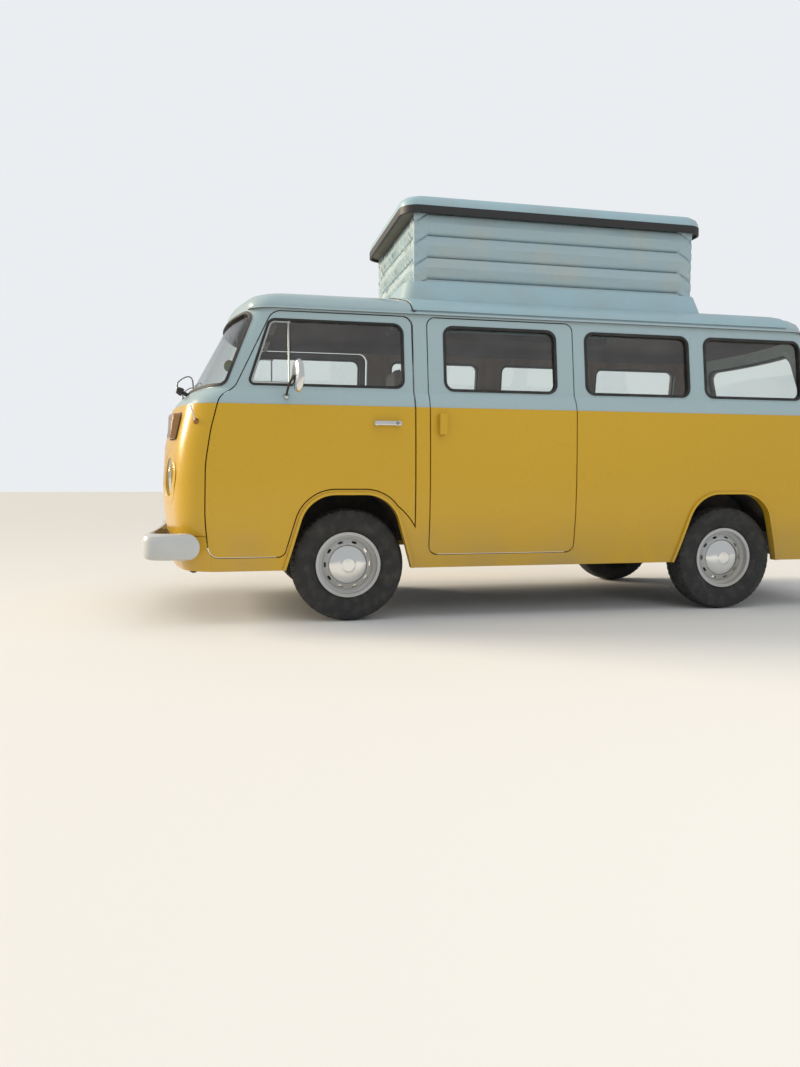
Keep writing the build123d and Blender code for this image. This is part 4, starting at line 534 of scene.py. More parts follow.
def smooth_path(points, count):
    """Points spaced along a Catmull-Rom curve: each run is a cubic through its neighbours."""
    points = np.array(points, dtype=float)
    ends = np.concatenate([[2 * points[0] - points[1]], points, [2 * points[-1] - points[-2]]])
    place = np.linspace(0, len(points) - 1 - 1e-9, count)
    run = place.astype(int)
    t = (place - run)[:, None]
    p0, p1, p2, p3 = (ends[run + step] for step in range(4))
    return 0.5 * (
        2 * p1 + (p2 - p0) * t + (2 * p0 - 5 * p1 + 4 * p2 - p3) * t**2
        + (3 * p1 - p0 - 3 * p2 + p3) * t**3
    )


def tube(path, radius, sides=12, caps=True, closed=False, flat=1.0):
    """A round or flattened tube along a path; its rings stand square to the path."""
    path = np.array(path, dtype=float)
    radius = np.broadcast_to(np.array(radius, dtype=float), (len(path),))
    if closed:
        ahead_dir = np.roll(path, -1, axis=0) - np.roll(path, 1, axis=0)
    else:
        ahead_dir = np.gradient(path, axis=0)
    ahead_dir /= np.linalg.norm(ahead_dir, axis=1)[:, None]
    upright = abs(ahead_dir[:, 2]).mean() >= 0.8
    side = np.cross(ahead_dir, (0.0, 1.0, 0.0) if upright else (0.0, 0.0, 1.0))
    side /= np.linalg.norm(side, axis=1)[:, None]
    rise = np.cross(side, ahead_dir)
    angle = np.linspace(0, 2 * np.pi, sides, endpoint=False)
    ring = (
        side[:, None, :] * np.cos(angle)[None, :, None]
        + rise[:, None, :] * np.sin(angle)[None, :, None] * flat
    )
    points = path[:, None, :] + ring * radius[:, None, None]
    if closed:
        points = np.concatenate([points, points[:1]])
    return grid(points, caps=caps and not closed)


def rounded_box(low, high, corner, steps=4, cells=1):
    """A box with round edges. Each point of a cube's grid is split into the nearest point of
    a smaller box and the rest, and the rest is set to the corner's radius."""
    low, high = np.array(low, dtype=float), np.array(high, dtype=float)
    low, high = np.minimum(low, high), np.maximum(low, high)
    middle, half = (low + high) / 2, (high - low) / 2
    core = half - corner
    arc = corner * np.tan(np.linspace(0, np.pi / 4, steps + 1)[1:])
    shapes, start, faces = [], 0, []
    for axis in range(3):
        first, second = (axis + 1) % 3, (axis + 2) % 3
        lines = [
            np.concatenate([-edge - arc[::-1], np.linspace(-edge, edge, cells + 1), edge + arc])
            for edge in (core[first], core[second])
        ]
        a, b = np.meshgrid(*lines, indexing="ij")
        for sign in (-1, 1):
            cube = np.zeros(a.shape + (3,))
            cube[..., axis], cube[..., first], cube[..., second] = sign * half[axis], a, b
            near = np.clip(cube, -core, core)
            rest = cube - near
            points = near + rest * (corner / np.linalg.norm(rest, axis=-1, keepdims=True)) + middle
            side_points, side_faces = grid(points, ring=False, flip=sign < 0)
            shapes.append(side_points)
            faces.extend(tuple(corner_id + start for corner_id in face) for face in side_faces)
            start += len(side_points)
    return np.concatenate(shapes), faces


def mirrored(shape):
    """The same shape on the van's other side."""
    points, faces = shape
    return points * np.array([-1.0, 1.0, 1.0]), [face[::-1] for face in faces]


def both_sides(shape):
    """Each side's name with the shape as it is there."""
    return ("left", shape), ("right", mirrored(shape))


# %% [markdown]
# The body panels come as strips cut from a loft, each with its own slope, so a strip's edge
# would catch the light as a faint line that pressed steel doesn't have. Their merged copies
# get normals from the body's own sections instead: at each height the slope is blended from
# one section to the next, so the shading flows, while seams and corners stay crisp.

# %% Pressed panels
# Columns: height, how far the side stands in, the nose's and the tail's places. The same
# sections as in the CAD model, in metres.
LOWER_ROWS = np.array((
    (0.305, 0.052, 0.105, 0.110), (0.425, 0.029, 0.080, 0.097), (0.610, 0.007, 0.056, 0.084),
    (0.780, 0.0, 0.048, 0.080), (1.005, 0.002, 0.064, 0.085), (1.225, 0.010, 0.110, 0.100),
))
ROOF_ROWS = np.array((
    (1.775, 0.115, 0.448, 0.270), (1.800, 0.121, 0.453, 0.276), (1.825, 0.136, 0.469, 0.290),
    (1.850, 0.178, 0.502, 0.320), (1.875, 0.262, 0.565, 0.380), (1.897, 0.358, 0.700, 0.490),
    (1.918, 0.466, 0.880, 0.650), (1.936, 0.590, 1.060, 0.820), (1.951, 0.740, 1.250, 1.000),
))
SAME_SLOPE = math.radians(4)
LINING_ROOF_Z = 1.60
TINY = 1e-6


def blended_slope(rows, height, level_dir):
    """Slope of the skin at a height, faced in a level direction, and the strip's own slope.

    A strip between two sections leans by atan(|x| * side + |y| * end), where side and end
    are how fast the side and the nose or tail move in with height. At a section the slope
    is the mean of its two strips, and between sections it changes evenly."""
    rise = np.diff(rows[:, 0])
    side, nose, tail = (np.diff(rows[:, column]) / rise for column in (1, 2, 3))
    strip = np.clip(np.searchsorted(rows[:, 0], height, side="right") - 1, 0, len(rise) - 1)
    ends = np.where(level_dir[:, 1:2] < 0, nose[None, :], tail[None, :])
    lean = np.arctan(abs(level_dir[:, :1]) * side[None, :] + abs(level_dir[:, 1:2]) * ends)
    at_rows = np.concatenate([lean[:, :1], (lean[:, 1:] + lean[:, :-1]) / 2, lean[:, -1:]], axis=1)
    each = np.arange(len(height))
    share = (height - rows[strip, 0]) / rise[strip]
    blended = at_rows[each, strip] * (1 - share) + at_rows[each, strip + 1] * share
    return blended, strip, lean


def carved(mesh, cutters):
    """The mesh less the shapes in cutters."""
    holder = new_object("carved", mesh)
    knives = []
    for points, faces in cutters:
        knife_mesh = bpy.data.meshes.new("knife")
        knife_mesh.from_pydata(points.tolist(), [], faces)
        knife = new_object("knife", knife_mesh)
        cut = holder.modifiers.new("cut", "BOOLEAN")
        cut.object = knife
        cut.operation = "DIFFERENCE"
        cut.solver = "EXACT"
        knives.append(knife)
    graph = bpy.context.evaluated_depsgraph_get()
    result = bpy.data.meshes.new_from_object(holder.evaluated_get(graph))
    for thing in [holder] + knives:
        bpy.data.objects.remove(thing)
    return result


def numbers(items, what, width=3, kind=float):
    """One attribute of every item of a mesh, a row for each."""
    flat = np.zeros(len(items) * width, dtype=kind)
    items.foreach_get(what, flat)
    return flat.reshape(-1, width)


def flowing_normals(mesh):
    """The mesh's normals, with those on the body's skin taken from the sections' slopes."""
    normals = numbers(mesh.corner_normals, "vector")
    vertex = numbers(mesh.loops, "vertex_index", 1, int)[:, 0]
    height = numbers(mesh.vertices, "co")[vertex, 2]
    corners_of = numbers(mesh.polygons, "loop_total", 1, int)[:, 0]
    flat = np.repeat(numbers(mesh.polygons, "normal"), corners_of, axis=0)
    centre = np.repeat(numbers(mesh.polygons, "center"), corners_of, axis=0)
    level = np.linalg.norm(normals[:, :2], axis=1)
    level_dir = normals[:, :2] / np.maximum(level, TINY)[:, None]
    outward = (flat[:, :2] * centre[:, :2]).sum(axis=1) > 0
    lean_flat = np.arctan2(flat[:, 2], np.linalg.norm(flat[:, :2], axis=1))
    for rows in (LOWER_ROWS, ROOF_ROWS):
        _, strip, lean = blended_slope(rows, centre[:, 2], level_dir)
        inside = (centre[:, 2] > rows[0, 0]) & (centre[:, 2] < rows[-1, 0])
        own = lean[np.arange(len(strip)), strip]
        on_skin = inside & outward & (level > TINY) & (abs(lean_flat - own) < SAME_SLOPE)
        within = np.clip(height, rows[strip, 0] + TINY, rows[strip + 1, 0] - TINY)
        slope, _, _ = blended_slope(rows, within, level_dir)
        level_part = level_dir * np.cos(slope)[:, None]
        from_skin = np.concatenate([level_part, np.sin(slope)[:, None]], axis=1)
        normals = np.where(on_skin[:, None], from_skin, normals)
    return normals


def pressed_panel(name, sharp=30, flow=True, lining=None, cutters=(), shape=None):
    """A merged copy of a solid that stands for it, with flowing normals on the body's skin.

    Faces that look into the van get the lining, if one is given. The cutters' shapes are
    taken away, and shape moves the points."""
    mesh = nodes[name].data.copy()
    work = bmesh.new()
    work.from_mesh(mesh)
    bmesh.ops.remove_doubles(work, verts=work.verts, dist=DOUBLE)
    bmesh.ops.dissolve_degenerate(work, edges=work.edges, dist=0.000005)
    work.to_mesh(mesh)
    work.free()
    if cutters:
        mesh = carved(mesh, cutters)
    if shape:
        mesh.vertices.foreach_set("co", shape(numbers(mesh.vertices, "co")).ravel())
    mesh.name = name + "_panel"
    if "custom_normal" in mesh.attributes:
        mesh.attributes.remove(mesh.attributes["custom_normal"])
    made = settle(name + "_panel", mesh, FINISH_OF[name], NODE_BODY[name], sharp)
    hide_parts(name)
    if lining:
        mesh.materials.append(lining)
        for face in mesh.polygons:
            side_in = face.normal.x * face.center.x < -0.30
            below_roof = face.normal.z < -0.20 and face.center.z > LINING_ROOF_Z
            if face.center.z > FLOOR_Z and (side_in or below_roof):
                face.material_index = 1
    if flow:
        mesh.normals_split_custom_set(flowing_normals(mesh).tolist())


FLOWING = (
    "nose_panel", "windscreen_frame", "roof_panel", "side_panel_left", "side_panel_right",
    "rear_panel", "sliding_door", "door_left", "door_right", "tailgate", "engine_lid",
)
CRISP = (
    "roof_base", "lid", "lid_rim", "front_bumper", "rear_bumper", "window_seals", "tailgate_seal",
)
LINING = {
    "roof_panel": headlining, "door_left": brown_vinyl, "door_right": brown_vinyl,
    "side_panel_left": cabinet_veneer, "side_panel_right": cabinet_veneer,
    "sliding_door": brown_vinyl, "windscreen_frame": headlining, "lid": lid_lining,
}
HEADLAMP_X, HEADLAMP_Z = 0.545, 0.825
BOWL_X, BOWL_HALF_X, BOWL_HALF_Z, BOWL_BACK_D = 0.5585, 0.1635, 0.154, 0.178
# The skirt's top height and how proud it stands: the dark band drawn up above the rim is painted
# shade.
RIM_LOW_Z, RIM_HIGH_Z, SHADE_SKIRT_HIGH_Z, SHADE_SKIRT_PROUD = 2.390, 2.406, 2.434, 0.0022
BOW_BACK_D, BOW_BLEND, BOW_AHEAD = 0.230, 0.16, 0.075


def bowl_edge(grow, angle):
    """X and Z of the headlamp bowl's oval edge, grown a little; it is wider to the side."""
    x = BOWL_X + (BOWL_HALF_X + grow) * np.cos(angle)
    return x, HEADLAMP_Z + (BOWL_HALF_Z + grow) * np.sin(angle)


round_angle = np.linspace(0, 2 * np.pi, 96, endpoint=False)
bowl_x, bowl_z = bowl_edge(0, round_angle)
bowl_room = grid(np.stack([
    np.stack([bowl_x, np.full_like(bowl_x, back(d)), bowl_z], axis=-1)
    for d in (-0.05, BOWL_BACK_D)
]))


def straighter_bow(points):
    """The front bumper's ends moved ahead, so its face is the flatter bow of the real blade."""
    d = points[:, 1] + LENGTH / 2
    ahead_share = np.clip((BOW_BACK_D - d) / BOW_BLEND, 0, 1)
    moved = points.copy()
    moved[:, 1] -= BOW_AHEAD * points[:, 0] ** 2 * ahead_share
    return moved


def painted_shade_skirt(points):
    """The lid's dark rim drawn up over the lid's edge, a little proud of it. Above the rim's own
    height the dark band is painted shade: it stands for the shaded underside of the lid's overhang.
    """
    moved = points.copy()
    share = ((points[:, 2] - RIM_LOW_Z) / (RIM_HIGH_Z - RIM_LOW_Z)).clip(0, 1)
    moved[:, 2] = RIM_LOW_Z + share * (SHADE_SKIRT_HIGH_Z - RIM_LOW_Z)
    low, high = points.min(axis=0), points.max(axis=0)
    from_middle = (points - (high + low) / 2) / ((high - low) / 2)
    moved[:, :2] += from_middle[:, :2] * SHADE_SKIRT_PROUD
    return moved


# The lid rim's shape draws a dark band of painted shade up over the lid's edge.
SHAPES = {"front_bumper": straighter_bow, "lid_rim": painted_shade_skirt}
CUTTERS = {"nose_panel": (bowl_room, mirrored(bowl_room))}
for name in FLOWING + CRISP:
    pressed_panel(
        name, flow=name in FLOWING, lining=LINING.get(name), cutters=CUTTERS.get(name, ()),
        shape=SHAPES.get(name),
    )

# %% [markdown]
# Window rubber, lamp rims and trim follow an outline on the body's skin. The outline is
# drawn flat with round corners, a small section is carried round it, and a place function
# lays the result on the skin: the side leans in with height, and the nose is a shallow bow.

# %% Outlines on the skin
TAIL_BOW, TAIL_CORNER = 3.0, 0.2


def rounded_outline(corners, arc=7):
    """Points of a polygon whose corners (u, v, radius) are arcs, going round once."""
    points = []
    count = len(corners)
    for index, (u, v, radius) in enumerate(corners):
        here = np.array([u, v])
        to_last = np.array(corners[index - 1][:2]) - here
        to_next = np.array(corners[(index + 1) % count][:2]) - here
        to_last /= np.linalg.norm(to_last)
        to_next /= np.linalg.norm(to_next)
        half = math.acos(np.clip(to_last @ to_next, -1, 1)) / 2
        between = to_last + to_next
        middle = here + between / np.linalg.norm(between) * radius / math.sin(half)
        start = here + to_last * radius / math.tan(half) - middle
        end = here + to_next * radius / math.tan(half) - middle
        first = math.atan2(start[1], start[0])
        turn = math.atan2(end[1], end[0]) - first
        turn = (turn + math.pi) % (2 * math.pi) - math.pi
        angle = first + turn * np.linspace(0, 1, arc)
        points.append(middle + radius * np.stack([np.cos(angle), np.sin(angle)], axis=-1))
    return np.concatenate(points)


def rectangle(low_u, low_v, high_u, high_v, radius):
    """The corners of an upright rectangle, each with the same radius."""
    return (
        (low_u, low_v, radius), (low_u, high_v, radius),
        (high_u, high_v, radius), (high_u, low_v, radius),
    )


def inward(outline):
    """Unit vectors square to a closed outline that point into it."""
    ahead_dir = np.roll(outline, -1, axis=0) - np.roll(outline, 1, axis=0)
    ahead_dir /= np.linalg.norm(ahead_dir, axis=1)[:, None]
    square = np.stack([-ahead_dir[:, 1], ahead_dir[:, 0]], axis=-1)
    if (square * (outline.mean(axis=0) - outline)).sum() < 0:
        square = -square
    return square


def carried(outline, section, place):
    """A closed section of (in, out) points carried round a closed outline on the skin."""
    square = inward(outline)
    section = np.array(section, dtype=float)
    flat = outline[:, None, :] + square[:, None, :] * section[None, :, :1]
    out = np.broadcast_to(section[None, :, 1], flat.shape[:2])
    points = place(flat[..., 0], flat[..., 1], out)
    points = np.concatenate([points, points[:1]])
    return grid(points, caps=False)


def patch(outline, rings, place):
    """A raised patch: the outline stepped in and out through rings of (in, out), then closed."""
    square = inward(outline)
    rows = [outline + square * step_in for step_in, _ in rings]
    outs = [out for _, out in rings]
    middle = outline.mean(axis=0)
    last = rows[-1]
    for share in (0.66, 0.33, 0.02):
        rows.append(middle + (last - middle) * share)
        outs.append(outs[-1])
    points = np.stack([
        place(row[:, 0], row[:, 1], np.full(len(row), out)) for row, out in zip(rows, outs)
    ])
    return grid(points, caps=True)


def side_x(z):
    """How far out the left side's skin is at a height, beside the doors and windows."""
    heights = [*LOWER_ROWS[:, 0], 1.226, 1.257, 1.287, 1.312, 1.775]
    tucks = [*LOWER_ROWS[:, 1], 0.013, 0.021, 0.037, 0.057, 0.115]
    return HALF_WIDTH - np.interp(z, heights, tucks)


def on_left_side(d, z, out):
    """A point out from the left side, given its d and height."""
    return np.stack([side_x(z) + out, back(d), z + 0 * d], axis=-1)


def nose_d(x, z):
    """How far behind the bumper's face the nose is: a bow that moves back with height."""
    place = np.interp(z, LOWER_ROWS[:, 0], LOWER_ROWS[:, 2])
    bow = np.interp(z, LOWER_ROWS[:, 0], [2.6, 2.6, 2.6, 2.6, 2.45, 2.3])
    return place + bow - np.sqrt(bow**2 - x**2)


def on_nose(x, z, out):
    """A point ahead of the nose, given its x and height."""
    return np.stack([x + 0 * z, back(nose_d(x, z) - out), z + 0 * x], axis=-1)


def tail_y(x, z):
    """Y of the tail's skin: a bow ahead of the rear bumper, and the corner that follows it."""
    place = np.interp(z, LOWER_ROWS[:, 0], LOWER_ROWS[:, 3])
    bow, corner, half = TAIL_BOW, TAIL_CORNER, side_x(z)
    slope = (half - corner) / (bow - corner)
    run = np.sqrt(1 - slope**2)
    on_bow = back(LENGTH - place) - (bow - np.sqrt(np.maximum(bow**2 - x**2, 0)))
    centre = back(LENGTH - place) - (bow - (bow - corner) * run)
    beyond = np.clip(abs(x) - (half - corner), 0, corner * 0.999)
    on_corner = centre + np.sqrt(corner**2 - beyond**2)
    return np.where(abs(x) < bow * slope, on_bow, on_corner)


def on_tail(x, z, out):
    """A point behind the tail's skin."""
    return np.stack([x + 0 * z, tail_y(x, z) + out, z + 0 * x], axis=-1)


# %% [markdown]
# Each cab door carries black rubber round its window, the quarter light's bright frame with
# its upright bar, a mirror on a bent arm and a pull handle. In the CAD model these are one
# solid. Here each is its own piece with its own finish, and they share the solid's place.

# %% Door trim
BAR_D = 0.779
SILL_Z, TOP_Z = 1.330, 1.705
WINDOW_FRONT = ((0.545, SILL_Z, 0.030), (0.670, TOP_Z, 0.050))
CAB_WINDOW = (*WINDOW_FRONT, (1.432, TOP_Z, 0.060), (1.432, SILL_Z, 0.050))
QUARTER_LIGHT = (*WINDOW_FRONT, (BAR_D + 0.016, TOP_Z, 0.004), (BAR_D + 0.016, SILL_Z, 0.004))
RUBBER_SECTION = (
    (-0.001, 0.0005), (0.002, 0.0040), (0.007, 0.0042), (0.0110, 0.0010), (0.0135, -0.0100),
    (0.0160, -0.0135), (0.0160, -0.0205), (0.0140, -0.0290), (0.0, -0.0290), (-0.0005, -0.010),
)
FRAME_SECTION = (
    (0.0115, -0.0125), (0.0130, -0.0040), (0.0200, -0.0025), (0.0235, -0.0070), (0.0235, -0.0135),
)
MIRROR_HEAD = np.array([0.965, back(0.805), 1.370])
MIRROR_TURN = math.radians(24)
MIRROR_HALF = (0.058, 0.090)


def mirror_rows(rows):
    """The mirror's shell or glass from rows of (shrink, out): upright ovals, smaller than
    the head by shrink and moved out towards the glass."""
    angle = np.linspace(0, 2 * np.pi, 48, endpoint=False)
    across_dir = np.array([math.cos(MIRROR_TURN), math.sin(MIRROR_TURN), 0])
    glass_dir = np.array([-math.sin(MIRROR_TURN), math.cos(MIRROR_TURN), 0])
    points = []
    for shrink, out in rows:
        across = (MIRROR_HALF[0] - shrink) * np.cos(angle)[:, None] * across_dir
        upright = (MIRROR_HALF[1] - shrink) * np.sin(angle)[:, None] * np.array([0, 0, 1.0])
        points.append(MIRROR_HEAD + across + upright + out * glass_dir)
    return grid(np.stack(points), caps=True)


MIRROR_SHELL = (
    (0.046, -0.0118), (0.030, -0.0112), (0.014, -0.0080), (0.0045, -0.002), (0.0006, 0.004),
    (0.0, 0.0085), (0.0015, 0.0118), (0.0045, 0.0124), (0.0062, 0.0112), (0.0064, 0.0090),
    (0.03, 0.0088),
)
MIRROR_PANE = ((0.0064, 0.0090), (0.0068, 0.0102), (0.02, 0.0106), (0.05, 0.0110))
MIRROR_FOOT = (
    (-0.001, 0.0), (0.0, 0.019), (0.004, 0.0195), (0.008, 0.016), (0.013, 0.0135),
    (0.018, 0.0125), (0.023, 0.009), (0.0255, 0.0),
)
ARM_JOINT = ((-0.012, 0.0), (-0.011, 0.010), (0.0, 0.0135), (0.011, 0.010), (0.012, 0.0))
ARM_PATH = smooth_path([
    (0.838, back(0.757), 1.268), (0.872, back(0.757), 1.281), (0.905, back(0.759), 1.300),
    (0.938, back(0.768), 1.332), (0.957, back(0.781), 1.356), (0.962, back(0.793), 1.368),
], 30)
ARM_RADIUS = np.interp(np.linspace(0, 1, 30), [0, 0.1, 0.8, 1], [0.0085, 0.0065, 0.0065, 0.010])
HANDLE_Z = 1.13
HANDLE_POST = ((-0.002, 0.0155), (0.004, 0.0155), (0.007, 0.012), (0.026, 0.0105))
LOCK_BUTTON = ((0.0, 0.0095), (0.006, 0.0095), (0.0075, 0.0080), (0.0078, 0.0))
mirror_glass = bright_metal("mirror_glass", (0.88, 0.89, 0.90), 0.02)
frame_alloy = bright_metal("frame_alloy", (0.62, 0.64, 0.64), 0.30)
grip = rounded_box((0.8775, back(1.243), 1.1165), (0.8895, back(1.397), 1.1435), 0.0055, 4)
handle_posts = [
    turned(HANDLE_POST, (side_x(HANDLE_Z), back(d), HANDLE_Z), 28) for d in (1.260, 1.380)
]
ARM_FOOT_Z = 1.266
arm_foot = (side_x(ARM_FOOT_Z) - 0.001, back(0.757), ARM_FOOT_Z)
arm_shapes = [tube(ARM_PATH, ARM_RADIUS), turned(ARM_JOINT, (0.951, back(0.787), 1.360), 24)]
button = turned(LOCK_BUTTON, (0.8870, back(1.372), HANDLE_Z), 24)
window_rubber = carried(rounded_outline(CAB_WINDOW), RUBBER_SECTION, on_left_side)
quarter_frame = carried(rounded_outline(QUARTER_LIGHT), FRAME_SECTION, on_left_side)
DOOR_TRIM = (
    ("rubber", [window_rubber], black_rubber),
    ("quarter_frame", [quarter_frame], frame_alloy),
    ("mirror_shell", [mirror_rows(MIRROR_SHELL)], chrome),
    ("mirror_pane", [mirror_rows(MIRROR_PANE)], mirror_glass),
    ("mirror_foot", [turned(MIRROR_FOOT, arm_foot, 32)], chrome),
    ("mirror_arm", arm_shapes, black_plastic),
    ("handle", [grip] + handle_posts, chrome),
    ("lock_button", [button], dull_steel),
)
for side in ("left", "right"):
    for label, shapes, finish in DOOR_TRIM:
        shapes = shapes if side == "left" else [mirrored(shape) for shape in shapes]
        slot = "black_rubber" if label == "rubber" else "bright_metal"
        made = piece_from(f"{label}_{side}", shapes, finish, f"{side}_door")
        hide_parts(f"door_fittings_{side}")
print("door trim pieces:", 2 * len(DOOR_TRIM))

# %% [markdown]
# A headlamp is a bright rim round a domed, fluted glass, with a dished reflector and its
# bulb behind, at the floor of an oval bowl pressed into the nose. The flasher above it is an
# amber lens in a rubber rim that hugs the nose.

# %% Front lamps
HEADLAMP = (HEADLAMP_X, back(0.122), HEADLAMP_Z)
RIM = (
    (0.0560, 0.1050), (0.050, 0.1095), (0.016, 0.1105), (0.004, 0.1090), (-0.003, 0.1035),
    (-0.0045, 0.0970), (-0.002, 0.0915), (0.004, 0.0895), (0.012, 0.0890), (0.012, 0.0960),
    (0.056, 0.0985),
)
LENS = (
    (0.0045, 0.0905), (-0.0010, 0.0895), (-0.0045, 0.0820), (-0.0085, 0.0660), (-0.0120, 0.0460),
    (-0.0145, 0.0240), (-0.0155, 0.0), (-0.0125, 0.0), (-0.0115, 0.0240), (-0.0090, 0.0460),
    (-0.0055, 0.0660), (-0.0015, 0.0820), (0.0045, 0.0870), (0.0045, 0.0905),
)
REFLECTOR = (
    (0.010, 0.0890), (0.013, 0.0860), (0.030, 0.0760), (0.050, 0.0600), (0.064, 0.0400),
    (0.070, 0.0180), (0.071, 0.0), (0.074, 0.0), (0.073, 0.0200), (0.066, 0.0430), (0.052, 0.0640),
    (0.032, 0.0800), (0.014, 0.0900), (0.010, 0.0890),
)
BULB = (
    (0.070, 0.011), (0.046, 0.011), (0.040, 0.009), (0.034, 0.0095), (0.028, 0.006), (0.026, 0.0),
)
RING_RADIUS, BOWL_THICK, BOWL_OVERLAP = 0.1112, 0.0012, 0.0025
LOW_X, HIGH_X, LOW_Z, HIGH_Z = 0.500, 0.660, 1.036, 1.185
FLASHER = (
    (LOW_X, LOW_Z, 0.016), (LOW_X, HIGH_Z, 0.020), (HIGH_X, HIGH_Z, 0.026), (HIGH_X, LOW_Z, 0.016),
)
FLASHER_RIM = ((-0.001, -0.004), (-0.001, 0.004), (0.001, 0.006), (0.004, 0.006), (0.005, -0.004))
FLASHER_LENS = ((0.003, 0.0), (0.0035, 0.82), (0.0065, 0.95), (0.0120, 1.0), (0.026, 1.02))


def fluted_glass(name):
    """Headlamp glass: clear, with upright prisms that blur what lies behind it."""
    f = Finish(name)
    prism = (f.axis("X") * (2 * math.pi / 0.0075)).sine()
    cross = (f.axis("Z") * (2 * math.pi / 0.034)).sine()
    ribs = f.bump(prism + cross * 0.4, 0.0012, 0.9)
    return f.see_through((0.86, 0.88, 0.88), 0.04, f.glancing(4.0, 0.14, 0.6, ribs), ribs)


lamp_glass = fluted_glass("lamp_glass_fluted")
warm_bulb = bright_metal("warm_bulb", (0.80, 0.74, 0.60), 0.15)


def on_flasher(x, z, out):
    """A point on the flasher, out being a share of its depth, which grows upwards and to
    the side so that its face stands nearly upright and square to the road."""
    u, v = (x - LOW_X) / (HIGH_X - LOW_X), (z - LOW_Z) / (HIGH_Z - LOW_Z)
    return on_nose(x, z, out * (0.020 + 0.015 * u + 0.023 * v - 0.010 * u * v))


def lamp_bowl():
    """The dished pressing round a headlamp: r goes from the skin's cut in to the ring, and
    its depth eases from the skin to the bowl's floor."""
    outer_x, outer_z = bowl_edge(BOWL_OVERLAP, round_angle)
    ring_x = HEADLAMP_X + RING_RADIUS * np.cos(round_angle)
    ring_z = HEADLAMP_Z + RING_RADIUS * np.sin(round_angle)
    rows = []
    for share in np.linspace(0, 1, 12):
        x = outer_x + (ring_x - outer_x) * share
        z = outer_z + (ring_z - outer_z) * share
        skin = nose_d(x, z) - 0.0008
        depth = math.sin(share * math.pi / 2)
        rows.append(np.stack([x, back(skin + (BOWL_BACK_D - skin) * depth), z], axis=-1))
    outer = np.stack(rows)
    under = outer[::-1] + np.array([0, BOWL_THICK, 0])
    return grid(np.concatenate([outer, under, outer[:1]]), caps=False)


flasher_outline = rounded_outline(FLASHER)
FRONT_LAMPS = (
    ("headlamp_rim", turned(RIM, HEADLAMP, 96, "Y"), chrome),
    ("headlamp_reflector", turned(REFLECTOR, HEADLAMP, 64, "Y"), mirror_glass),
    ("headlamp_bulb", turned(BULB, HEADLAMP, 24, "Y"), warm_bulb),
    ("headlamp_lens", turned(LENS, HEADLAMP, 96, "Y"), lamp_glass),
    ("headlamp_bowl", lamp_bowl(), yellow_paint),
    ("flasher_rim", carried(flasher_outline, FLASHER_RIM, on_nose), black_rubber),
    ("flasher_lens", patch(flasher_outline, FLASHER_LENS, on_flasher), amber_lens),
)
for label, lamp, finish in FRONT_LAMPS:
    slot = "lamp_plastic" if label == "flasher_lens" else "lamp_glass"
    for side, one in both_sides(lamp):
        fitting(f"{label}_{side}", [one], finish, "front_lamps")

# %% [markdown]
# A wiper is a spindle with a cap, a sprung arm that stands off the glass in a bow, and a
# blade: a thin rail over a rubber that follows the glass. Both arms park towards one side.

# %% Wipers
WIPERS = (
    ((0.300, 1.300), (-0.060, 1.372, 4.0)),
    ((-0.330, 1.300), (-0.470, 1.380, 12.0)),
)
BLADE_LENGTH = 0.430
RAIL_OFF, RUBBER_OFF = 0.020, 0.010


def screen_d(x, z):
    """How far behind the bumper's face the windscreen is at a place."""
    return 0.246 + 0.386 * (z - 1.322) + 0.19 * x**2 + 0.23 * x**4


cap_parts, arm_parts, blade_parts = [], [], []
for (spindle_x, spindle_z), (blade_x, blade_z, tilt) in WIPERS:
    foot_d = 0.205 + 0.24 * spindle_x**2
    head = np.array([spindle_x, back(foot_d - 0.073), spindle_z + 0.044])
    foot = np.array([spindle_x, back(foot_d + 0.012), spindle_z])
    stem = [foot + (head - foot) * share for share in (0, 0.62, 0.63, 0.80, 1.0)]
    cap_parts.append(tube(stem, [0.013, 0.012, 0.0230, 0.0240, 0.0190], 24))
    turn = math.radians(tilt)
    run = np.linspace(-BLADE_LENGTH / 2, BLADE_LENGTH / 2, 24)
    x, z = blade_x + run * math.cos(turn), blade_z + run * math.sin(turn)
    rail = np.stack([x, back(screen_d(x, z) - RAIL_OFF), z], axis=-1)
    rubber_line = np.stack([x, back(screen_d(x, z) - RUBBER_OFF), z - 0.001], axis=-1)
    middle = rail[12]
    arm = smooth_path([
        head, head + np.array([-0.015, 0.004, 0.045]), head + np.array([-0.050, 0.054, 0.084]),
        head + np.array([-0.100, 0.084, 0.076]), middle + np.array([0.03, -0.008, 0.006]), middle,
    ], 36)
    arm_parts.append(tube(arm, np.linspace(0.0058, 0.0036, 36), 10, flat=0.7))
    blade_parts.append(tube(rail, 0.0038, 8))
    blade_parts.append(tube(rubber_line, 0.0046, 8, flat=1.6))
fitting("wiper_caps", cap_parts, black_plastic, "wipers")
fitting("wiper_arms", arm_parts, dull_steel, "wipers")
fitting("wiper_blades", blade_parts, black_rubber, "wipers")

# %% [markdown]
# A tail lamp is one tall moulding on the corner: amber at the top, red below it and a clear
# reversing lens at the foot, over a bright back plate.

